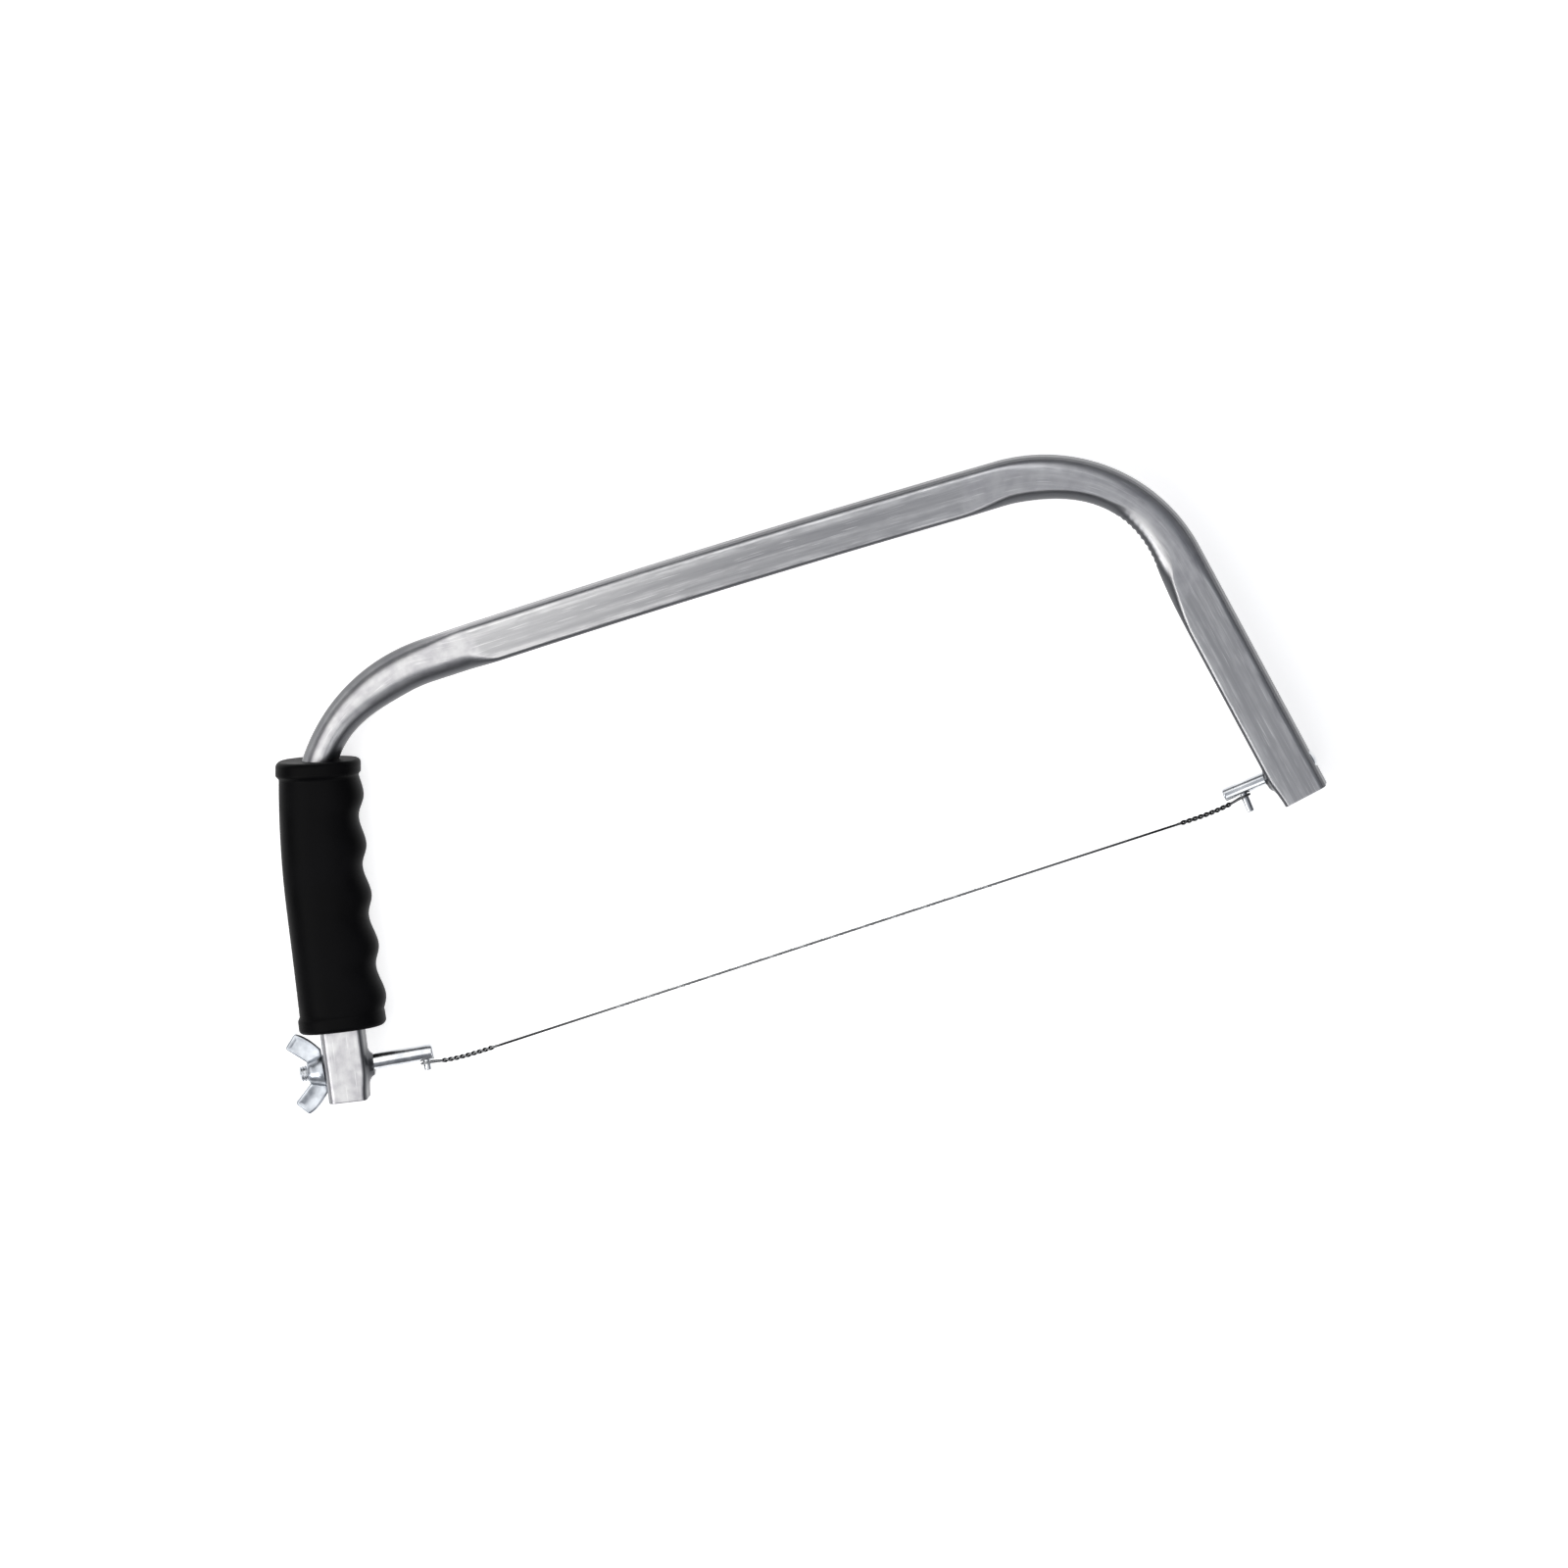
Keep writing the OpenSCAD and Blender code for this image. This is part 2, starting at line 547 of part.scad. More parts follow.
// The wire's own line: it bends down from each eye over the twist, and is straight between the twists
function droop(x) = 1 - pow(1 - max(0, x) / twist_len, 3);
function line_y(x) = let (w = wire_span - twist_len)
    x < twist_len ? -near_sag * droop(x) :
    x > w ? -far_sag * droop(wire_span - x) :
    -near_sag + (near_sag - far_sag) * (x - twist_len) / (w - twist_len);
function on_line(x, p, bump, at) = [[x, line_y(x) + p[1], p[2]], bump, at];
tooth_count = floor((wire_span - teeth_from - teeth_clear) / tooth_pitch);
route = concat(
    [for (p = end_route) on_line(p[0], p, 0, 0)],
    [for (k = [0:tooth_count - 1]) let (x = teeth_from + k * tooth_pitch) each [
        on_line(x, [0, 0, 0], 0, k % wire_sides),
        on_line(x + tooth_tip_share * tooth_pitch, [0, 0, 0], tooth_h, k % wire_sides),
        on_line(x + tooth_nick_share * tooth_pitch, [0, 0, 0], -nick_h, k % wire_sides)
    ]],
    [for (i = [len(end_route) - 1:-1:0]) let (p = end_route[i]) on_line(wire_span - p[0], p, 0, 0)]
);
function unit(v) = v / norm(v);
function run_at(i) = unit(route[min(i + 1, len(route) - 1)][0] - route[max(i - 1, 0)][0]);
function carried(n, run) = unit(n - (n * run) * run);
normals = [for (
    i = 0, n = carried([0, 0, 1], run_at(0)); i < len(route); i = i + 1, n = carried(n, run_at(i))
) n];
function wire_ring(i) = let (run = run_at(i), n = normals[i], b = cross(run, n))
    [for (j = [0:wire_sides - 1]) let (
        a = 360 * j / wire_sides,
        r = wire_d / 2 + (j == route[i][2] ? route[i][1] : 0)
    ) route[i][0] + r * (cos(a) * n + sin(a) * b)];
module saw_wire() color("#5a5c60") placed() skin([for (i = [0:len(route) - 1]) wire_ring(i)]);

// The origin is the middle of the whole saw's box, on its lowest side, so its outermost points set it
function nut_point(p, side) = hook_at - (nut_base + p[0]) * along(hook_heading)
    + side * p[1] * across(hook_heading);
wing_points = [for (side = [-1, 1], p = wing_outline) nut_point(p, side)];
outer_points = [for (s = stations) spot(s) + width(s) / 2 * across(heading(s))];
inner_points = [for (s = [0, tube_len]) spot(s) - (width(s) / 2 - mouth(s)) * across(heading(s))];
rivet_top = anchor_at - rivet_shift * across(arm_splay) + (arm_w / 2 + rivet_h) * along(arm_splay);
box_points = concat(wing_points, outer_points, inner_points, [rivet_top]);
x_lo = min([for (p = box_points) p[0]]);
x_hi = max([for (p = box_points) p[0]]);
y_lo = min([for (p = box_points) p[1]]);
y_hi = max([for (p = box_points) p[1]]);
z_lo = -grip_half_depth - max(low_flange_h, top_flange_h);
module placed() translate([-(x_lo + x_hi) / 2, -(y_lo + y_hi) / 2, -z_lo]) children();

bow_frame();
grip();
tension_rod();
tension_peg();
wing_nut();
anchor_rod();
anchor_peg();
saw_wire();
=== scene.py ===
"""Looks of a bow fret saw: fine meshes, finishes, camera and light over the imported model.

The drawing's own frame is in millimetres: X runs along the saw wire from the near eye, Y from the
wire to the back of the bow, and Z up, square to the bow. Sizes are in millimetres and angles in
degrees unless a line says otherwise. Placed points are in metres, in the part's frame.
"""

import logging
import math
from dataclasses import dataclass
from enum import Enum
from typing import Callable, Sequence

import bmesh
import bpy
import numpy as np
from mathutils import Matrix, Vector

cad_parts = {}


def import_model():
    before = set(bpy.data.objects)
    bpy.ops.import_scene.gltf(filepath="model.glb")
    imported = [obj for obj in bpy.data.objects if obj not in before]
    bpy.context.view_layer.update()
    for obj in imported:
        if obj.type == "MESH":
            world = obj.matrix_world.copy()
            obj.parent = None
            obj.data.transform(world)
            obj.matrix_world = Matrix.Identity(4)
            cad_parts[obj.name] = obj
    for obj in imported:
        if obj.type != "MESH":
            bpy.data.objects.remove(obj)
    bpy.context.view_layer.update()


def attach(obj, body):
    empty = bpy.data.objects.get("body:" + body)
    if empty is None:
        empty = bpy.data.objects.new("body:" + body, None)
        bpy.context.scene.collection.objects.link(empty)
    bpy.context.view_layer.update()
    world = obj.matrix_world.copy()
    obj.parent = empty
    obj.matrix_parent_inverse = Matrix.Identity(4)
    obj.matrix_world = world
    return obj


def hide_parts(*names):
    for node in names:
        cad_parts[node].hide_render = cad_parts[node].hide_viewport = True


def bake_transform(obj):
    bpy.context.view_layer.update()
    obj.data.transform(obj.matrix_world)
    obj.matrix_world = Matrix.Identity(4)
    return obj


log = logging.getLogger("fret_saw")

Socket = bpy.types.NodeSocket
Obj = bpy.types.Object
Array = np.ndarray
Pair = tuple[float, float]
Triple = tuple[float, float, float]
Colour = tuple[float, float, float, float]

MM = 0.001
QUARTER = math.pi / 2
# Middle of the saw's box in the drawing, and the height of the bow's middle plane over the floor
BOX_MIDDLE = (186.7308, 88.633)
MIDDLE_HEIGHT = 17.2
# Radius of the tiny ring that closes the end of a turned piece
TIP_R = 0.02


class Ends(Enum):
    """How a lofted skin finishes at its first and last ring."""

    OPEN = "open"
    CAPPED = "capped"
    JOINED = "joined"


class Body(Enum):
    """Moving bodies of the saw."""

    BOW = "saw_bow"
    HOOK = "tension_hook"
    NUT = "nut"


def linear(hex_colour: str) -> Colour:
    """Turn an sRGB hex colour with a leading hash into linear RGBA from 0 to 1."""
    parts = [int(hex_colour[i:i + 2], 16) / 255 for i in (1, 3, 5)]
    return *(p / 12.92 if p <= 0.04045 else ((p + 0.055) / 1.055) ** 2.4 for p in parts), 1.0


def along(heading: float) -> Array:
    """Return the unit vector at a heading."""
    return np.array((math.cos(math.radians(heading)), math.sin(math.radians(heading))))


def across(heading: float) -> Array:
    """Return the unit vector to the left of a heading."""
    return np.array((-math.sin(math.radians(heading)), math.cos(math.radians(heading))))


def ease(t: float | Array) -> float | Array:
    """Return a smooth step from 0 to 1 as t goes from 0 to 1."""
    return (1 - np.cos(np.pi * np.clip(t, 0.0, 1.0))) / 2


def meet(p: Array, h: float, q: Array, g: float) -> Array:
    """Return where the line through p with heading h meets the line through q with heading g."""
    a, b, gap = along(h), along(g), q - p
    return p + a * (gap[0] * b[1] - gap[1] * b[0]) / (a[0] * b[1] - a[1] * b[0])


def squared(wave: Array, power: float) -> Array:
    """Bend a circle's sines or cosines: a power of 2 keeps the circle, and more squares it up."""
    return np.sign(wave) * np.abs(wave) ** (2 / power)


def circle(sides: int) -> Array:
    """Return even angles round a circle in radians, without the last one."""
    return np.linspace(0, math.tau, sides, endpoint=False)


def placed(points: Array) -> Array:
    """Turn points of the drawing into the part's frame, in metres."""
    return (points - np.array((*BOX_MIDDLE, -MIDDLE_HEIGHT))) * MM


def spun(rows: Sequence[tuple[float, float | Array]], sides: int) -> Array:
    """Spin places along x, each with its radius or radii, about x, as points (rows, sides, 3)."""
    turn = circle(sides)
    return np.array([
        np.stack((np.full(sides, x), r * np.cos(turn), r * np.sin(turn)), axis=-1)
        for x, r in rows])


def round_edge(x: float, r: float, size: float) -> list[Pair]:
    """Return the profile of a rounded edge of a given size, where radius r ends at place x."""
    return [(x - size * (1 - math.sin(a)), r - size * (1 - math.cos(a)))
            for a in (n * math.pi / 8 for n in range(5))]


def put(name: str, data: bpy.types.ID) -> Obj:
    """Put a mesh, camera or light into the scene under a name, and return the new object."""
    item = bpy.data.objects.new(name, data)
    bpy.context.scene.collection.objects.link(item)
    return item


def finish_mesh(mesh: bpy.types.Mesh, crease: float) -> None:
    """Turn the faces outwards and shade them smooth up to a crease angle.

    Args:
        mesh: The mesh to change.
        crease: The angle over which an edge stays sharp.
    """
    work = bmesh.new()
    work.from_mesh(mesh)
    bmesh.ops.recalc_face_normals(work, faces=work.faces)
    work.to_mesh(mesh)
    work.free()
    mesh.polygons.foreach_set("use_smooth", [True] * len(mesh.polygons))
    mesh.set_sharp_from_angle(angle=math.radians(crease))


def loft(
    name: str,
    rings: Array,
    runs: Sequence[float],
    ends: Ends,
    shades: dict[str, Array] | None = None,
    crease: float = 50.0,
) -> Obj:
    """Make a skin through rings of points, with UVs in metres round and along it.

    Args:
        name: Name of the new object.
        rings: Points in metres, of shape (rings, sides, 3).
        runs: Length along the skin at each ring, in metres.
        ends: How the first and last ring finish.
        shades: By name, a shade from 0 to 1 at each point, of shape (rings, sides).
        crease: The angle over which an edge stays sharp.

    Returns:
        The new object.
    """
    count, sides = rings.shape[:2]
    rows = count if ends is Ends.JOINED else count - 1
    i, j = np.mgrid[:rows, :sides]
    # The ring and the side of each face's four corners
    ring = np.stack((i, i, i + 1, i + 1), axis=-1) % count
    side = np.stack((j, j + 1, j + 1, j), axis=-1)
    faces = (ring * sides + side % sides).reshape(-1, 4).tolist()
    steps = np.linalg.norm(np.roll(rings, -1, axis=1) - rings, axis=2)
    around = np.concatenate((np.zeros((count, 1)), np.cumsum(steps, axis=1)), axis=1)
    coords = np.stack((around[ring, side], np.asarray(runs, float)[ring]), axis=-1).reshape(-1, 2)
    if ends is Ends.CAPPED:
        for row in (0, count - 1):
            faces.append([row * sides + n for n in range(sides)])
            coords = np.concatenate((coords, rings[row][:, :2]))
    mesh = bpy.data.meshes.new(name)
    mesh.from_pydata(rings.reshape(-1, 3).tolist(), [], faces)
    mesh.uv_layers.new(name="UVMap").data.foreach_set("uv", coords.astype(np.float32).ravel())
    for shade, values in (shades or {}).items():
        mesh.attributes.new(shade, "FLOAT", "POINT").data.foreach_set(
            "value", values.astype(np.float32).ravel())
    finish_mesh(mesh, crease)
    return put(name, mesh)


def join(pieces: Sequence[Obj]) -> Obj:
    """Join several meshes into the first one.

    Args:
        pieces: The objects to join, of which the first stays.

    Returns:
        The joined object.
    """
    first = pieces[0]
    with bpy.context.temp_override(
        active_object=first, object=first,
        selected_objects=list(pieces), selected_editable_objects=list(pieces),
    ):
        bpy.ops.object.join()
    return first


@dataclass(frozen=True)
class Spread:
    """A range that is mapped to another range, and kept inside it."""

    low: float
    high: float
    to_low: float = 0.0
    to_high: float = 1.0


class Nodes:
    """A node tree while it is being built."""

    def __init__(self, tree: bpy.types.NodeTree) -> None:
        """Start with an empty tree."""
        self.tree = tree
        tree.nodes.clear()

    def add(self, kind: str, values: dict[str | int, object] | None = None) -> bpy.types.Node:
        """Add a node, set its properties and inputs, and link other nodes' outputs to it.

        Args:
            kind: The node's type, without its prefix.
            values: Values or sockets by property name, input name or input number.

        Returns:
            The new node.
        """
        node = self.tree.nodes.new(f"ShaderNode{kind}")
        for key, value in (values or {}).items():
            if isinstance(value, Socket):
                self.tree.links.new(value, node.inputs[key])
            elif isinstance(key, str) and hasattr(node, key):
                setattr(node, key, value)
            else:
                node.inputs[key].default_value = value
        return node

    def combine(self, operation: str, first: Socket, second: Socket | float) -> Socket:
        """Return two values combined by an operation."""
        return self.add("Math", {"operation": operation, 0: first, 1: second}).outputs[0]

    def blend(self, share: Socket, low: Socket | Colour, high: Socket | Colour) -> Socket:
        """Return two colours mixed, where a share of 0 gives low and 1 gives high."""
        return self.add("Mix", {"data_type": "RGBA", 0: share, 6: low, 7: high}).outputs[2]

    def attribute(self, name: str) -> Socket:
        """Return a shade that the mesh holds at each point."""
        return self.add("Attribute", {"attribute_name": name}).outputs["Fac"]

    def spread(self, value: Socket, to: Spread) -> Socket:
        """Return a value mapped from one range to another."""
        return self.add("MapRange", {
            "From Min": to.low, "From Max": to.high, "To Min": to.to_low, "To Max": to.to_high,
            "Value": value}).outputs[0]

    def noise(self, vector: Socket, scale: float, detail: float) -> Socket:
        """Return noise with scale cells to a unit of the vector."""
        return self.add("TexNoise", {
            "Scale": scale, "Detail": detail, "Roughness": 0.55, "Vector": vector}).outputs[0]

    def cloud(self, cell_mm: float, detail: float) -> Socket:
        """Return noise that stands still in the piece, with cells of a given size."""
        return self.noise(self.add("TexCoord").outputs["Object"], 1 / (cell_mm * MM), detail)

    def bump(self, height: Socket, depth_mm: float) -> Socket:
        """Return a normal that gives a fine relief of a given depth."""
        return self.add("Bump", {
            "Strength": 0.2, "Distance": depth_mm * MM, "Height": height}).outputs[0]

    def metal(self, colour: Socket, roughness: Socket, **more: Socket) -> Socket:
        """Return a metal's shader, with more inputs by name."""
        return self.add("BsdfPrincipled", {
            "Metallic": 1.0, "Base Color": colour, "Roughness": roughness, **more}).outputs[0]


@dataclass(frozen=True)
class Finish:
    """A finish: what the surface is made of, and how its colour and gloss vary."""

    name: str
    slot: str

    def shade(self, nodes: Nodes) -> Socket:
        """Build the finish's nodes.

        Args:
            nodes: The material's node tree, which is still empty.

        Returns:
            The finish's shader.
        """
        raise NotImplementedError

    def make(self) -> bpy.types.Material:
        """Build the finish as a material.

        Returns:
            The new material.
        """
        material = bpy.data.materials.new(self.name)
        material.use_nodes = True
        nodes = Nodes(material.node_tree)
        nodes.add("OutputMaterial", {"Surface": self.shade(nodes)})
        return material

    def dress(self, piece: Obj) -> None:
        """Give a piece this finish alone.

        Args:
            piece: The piece to dress.
        """
        material = bpy.data.materials.get(self.name) or self.make()
        piece.data.materials.clear()
        piece.data.materials.append(material)


@dataclass(frozen=True)
class MillAluminium(Finish):
    """Drawn mill-finish aluminium tube: fine lines along it, and painted shade on the side walls.

    A pair in millimetres is the width and length of a noise's cells on the tube. The tube's mesh
    holds the shades: painted shade on the side walls and inside, calm where the lines are wiped
    away, and edge, where the long edges are bright.
    """

    name: str = "mill_finish_drawn_aluminium"
    slot: str = "mill_aluminium"
    bright: str = "#cccccd"
    dull: str = "#a8a8aa"
    wiped: str = "#b1b0b4"
    banded: str = "#98989b"
    # The dark grey that painted shade gives the side walls and the inside of the tube
    skin_and_painted_shade: str = "#57585b"
    # Colour of the scratches and of the bright edges, which along the corners is painted highlight
    wear_and_highlight: str = "#eaeaea"
    line_mm: Pair = (0.9, 45.0)
    band_mm: Pair = (5.0, 260.0)
    mottle_mm: Pair = (2.2, 9.0)
    scratch_mm: Pair = (0.6, 18.0)
    edge_dash_mm: Pair = (3.0, 22.0)
    patch_mm: float = 7.0
    lines: Spread = Spread(0.3, 0.7, 0.1, 1.0)
    bands: Spread = Spread(0.4, 0.6, 0.0, 0.7)
    mottle: Spread = Spread(0.38, 0.66, 0.0, 0.6)
    patches: Spread = Spread(0.36, 0.64)
    scratches: Spread = Spread(0.63, 0.72, 0.0, 0.5)
    edge_dash: Spread = Spread(0.42, 0.56, 0.1, 0.9)
    roughness: Spread = Spread(0.3, 0.7, 0.28, 0.41)
    relief_mm: float = 0.03

    def shade(self, nodes: Nodes) -> Socket:
        """Build the finish's nodes and return its shader."""
        surface = nodes.add("UVMap", {"uv_map": "UVMap"}).outputs[0]

        def drawn(size_mm: Pair, detail: float) -> Socket:
            """Return noise stretched along the tube."""
            scale = (1 / (size_mm[0] * MM), 1 / (size_mm[1] * MM), 1.0)
            stretched = nodes.add("Mapping", {"Scale": scale, "Vector": surface}).outputs[0]
            return nodes.noise(stretched, 1.0, detail)

        bright, dull, wear_and_highlight = linear(self.bright), linear(self.dull), linear(self.wear_and_highlight)
        # Drawing lines are about a tenth of a millimetre wide: they are wider here, so they show
        lines = drawn(self.line_mm, 4.0)
        face = nodes.blend(nodes.spread(lines, self.lines), dull, bright)
        bands = nodes.spread(drawn(self.band_mm, 1.0), self.bands)
        face = nodes.blend(bands, face, linear(self.banded))
        face = nodes.blend(nodes.spread(drawn(self.mottle_mm, 3.0), self.mottle), face, dull)
        # Where the die or a hand wiped the lines away, cloudy patches are left
        patches = nodes.spread(nodes.cloud(self.patch_mm, 3.0), self.patches)
        cloudy = nodes.blend(patches, linear(self.wiped), bright)
        face = nodes.blend(nodes.attribute("calm"), face, cloudy)
        scratches = nodes.spread(drawn(self.scratch_mm, 1.0), self.scratches)
        face = nodes.blend(scratches, face, wear_and_highlight)
        # Bright dashes along the long edges: wear from handling, and a painted highlight on the
        # corners
        dashes = nodes.spread(drawn(self.edge_dash_mm, 3.0), self.edge_dash)
        face = nodes.blend(nodes.combine("MULTIPLY", nodes.attribute("edge"), dashes), face, wear_and_highlight)
        # Painted shade: the side walls and the inside are darkened towards a dark grey
        colour = nodes.blend(nodes.attribute("painted_shade"), face, linear(self.skin_and_painted_shade))
        return nodes.metal(
            colour, nodes.spread(lines, self.roughness), Normal=nodes.bump(lines, self.relief_mm))


@dataclass(frozen=True)
class BlackRubber(Finish):
    """Moulded black rubber, half matt, with a very fine grain and a little bloom on it."""

    name: str = "moulded_black_rubber"
    slot: str = "black_rubber"
    colour: str = "#060607"
    bloom: str = "#0e0e10"
    grain_mm: float = 0.7
    bloom_mm: float = 24.0
    blooms: Spread = Spread(0.4, 0.75, 0.0, 0.7)
    roughness: Spread = Spread(0.3, 0.7, 0.42, 0.54)
    relief_mm: float = 0.05
    specular: float = 0.05

    def shade(self, nodes: Nodes) -> Socket:
        """Build the finish's nodes and return its shader."""
        cloud = nodes.cloud(self.bloom_mm, 3.0)
        colour = nodes.blend(
            nodes.spread(cloud, self.blooms), linear(self.colour), linear(self.bloom))
        return nodes.add("BsdfPrincipled", {
            "IOR": 1.5, "Specular IOR Level": self.specular, "Base Color": colour,
            "Roughness": nodes.spread(cloud, self.roughness),
            "Normal": nodes.bump(nodes.cloud(self.grain_mm, 2.0), self.relief_mm)}).outputs[0]


@dataclass(frozen=True)
class ZincPlate(Finish):
    """Bright zinc plate on turned or cast steel, with a cloudy spangle some millimetres across."""

    name: str = "bright_zinc_plate"
    slot: str = "zinc_steel"
    bright: str = "#e6e8ea"
    dull: str = "#c6c9cd"
    patch_mm: float = 6.0
    patches: Spread = Spread(0.35, 0.65)
    roughness: Spread = Spread(0.3, 0.7, 0.17, 0.28)

    def shade(self, nodes: Nodes) -> Socket:
        """Build the finish's nodes and return its shader."""
        cloud = nodes.cloud(self.patch_mm, 4.0)
        colour = nodes.blend(
            nodes.spread(cloud, self.patches), linear(self.dull), linear(self.bright))
        return nodes.metal(colour, nodes.spread(cloud, self.roughness))


@dataclass(frozen=True)
class DrawnSteelWire(Finish):
    """Dark drawn steel wire, bright on cut teeth, with a painted highlight on the twists' crests.
    """

    name: str = "drawn_steel_wire"
    slot: str = "wire_steel"
    # The wire's own dark colour
    skin_and_painted_shade: str = "#1b1c1d"
    cut_and_highlight: str = "#d6d8da"
    patch_mm: float = 1.2
    roughness: Spread = Spread(0.3, 0.7, 0.2, 0.32)

    def shade(self, nodes: Nodes) -> Socket:
        """Build the finish's nodes and return its shader."""
        colour = nodes.blend(nodes.attribute("cut_and_highlight"), linear(self.skin_and_painted_shade), linear(self.cut_and_highlight))
        return nodes.metal(
            colour, nodes.spread(nodes.cloud(self.patch_mm, 2.0), self.roughness))


@dataclass(frozen=True)
class PaleFloor(Finish):
    """White paper sweep that looks white to the camera and in the metal, and keeps the shadow."""

    name: str = "white_paper_floor"
    slot: str = ""
    colour: str = "#f2f2f2"
    lift: float = 0.66

    def shade(self, nodes: Nodes) -> Socket:
        """Build the finish's nodes and return its shader."""
        rays = nodes.add("LightPath").outputs
        seen = rays["Is Camera Ray"]
        for kind in ("Is Glossy Ray", "Is Transmission Ray"):
            seen = nodes.combine("MAXIMUM", seen, rays[kind])
        glow = nodes.add("Emission", {
            "Color": (1.0, 1.0, 1.0, 1.0), "Strength": nodes.combine("MULTIPLY", seen, self.lift)})
        paper = nodes.add("BsdfDiffuse", {"Color": linear(self.colour)})
        return nodes.add("AddShader", {0: paper.outputs[0], 1: glow.outputs[0]}).outputs[0]

    def dress(self, piece: Obj) -> None:
        """Give the floor this finish."""
        piece.data.materials.append(self.make())


def settle(piece: Obj, body: Body, node: str, finish: Finish) -> None:
    """Dress a piece, make it ride on its body and let it stand for its node.

    Args:
        piece: The finished piece.
        body: The body that carries it.
        node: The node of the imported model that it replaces.
        finish: Its finish.
    """
    finish.dress(piece)
    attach(piece, body.value)
    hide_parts(node)
    log.info("%s stands for %s: %d faces", piece.name, node, len(piece.data.polygons))


@dataclass
class Rod:
    """A rod's own frame: x along the rod to the wire, y away from the wire's side, z up."""

    at: Array
    heading: float
    towards: float = 1.0

    def points(self, local: Array) -> Array:
        """Turn points of the rod's frame into the part's frame, in metres."""
        flat = (self.at + self.towards * local[..., :1] * along(self.heading)
                + local[..., 1:2] * across(self.heading))
        return placed(np.concatenate((flat, local[..., 2:3]), axis=-1))

    def turned(
        self, name: str, profile: Sequence[Pair], ends: Ends, sides: int = 64,
    ) -> Obj:
        """Turn a profile about the rod's axis.

        Args:
            name: Name of the new object.
            profile: Places along the axis, each with the radius there.
            ends: How the profile's two ends finish.
            sides: Count of points round the axis.

        Returns:
            The turned piece.
        """
        steps = [0.0] + [math.dist(profile[n], profile[n - 1]) for n in range(1, len(profile))]
        return loft(name, self.points(spun(profile, sides)), np.cumsum(steps) * MM, ends)


@dataclass(frozen=True)
class Corner:
    """A corner of the tube's section: half axes across and up, and power: 2 is an ellipse."""

    out: float
    up: float
    power: float = 2.0

    def towards(self, other: "Corner", share: float) -> "Corner":
        """Return a corner between this one and another."""
        return Corner(*(a + share * (b - a) for a, b in (
            (self.out, other.out), (self.up, other.up), (self.power, other.power))))

    def grown(self, by: float, fit: float, least: float) -> "Corner":
        """Return the corner fitted across and grown, with half axes of at least a least size."""
        return Corner(max(self.out * fit + by, least), max(self.up + by, least), self.power)

    def arc(self, turn: Array) -> tuple[Array, Array]:
        """Give the corner's points at some angles.

        Args:
            turn: Angles in radians.

        Returns:
            The points, and from 0 to 1 how far each one's normal leans to the side.
        """
        c, s = np.cos(turn), np.sin(turn)
        flat = np.stack(
            (self.out * squared(c, self.power), self.up * squared(s, self.power)), axis=-1)
        steep = 2 * (self.power - 1) / self.power
        side, top = np.abs(c) ** steep / self.out, np.abs(s) ** steep / self.up
        return flat, side / np.hypot(side, top)


@dataclass(frozen=True)
class DieWork:
    """What a bending die did to a corner, how far past the bend's ends, and how it faded."""

    corner: Corner
    before: float
    after: float
    fade: float

    def share(self, s: float, start: float, stop: float) -> float:
        """Return from 0 to 1 how far the die changed the corner at a length along the tube."""
        return (ease((s - start + self.before) / self.fade)
                * ease((stop + self.after - s) / self.fade))


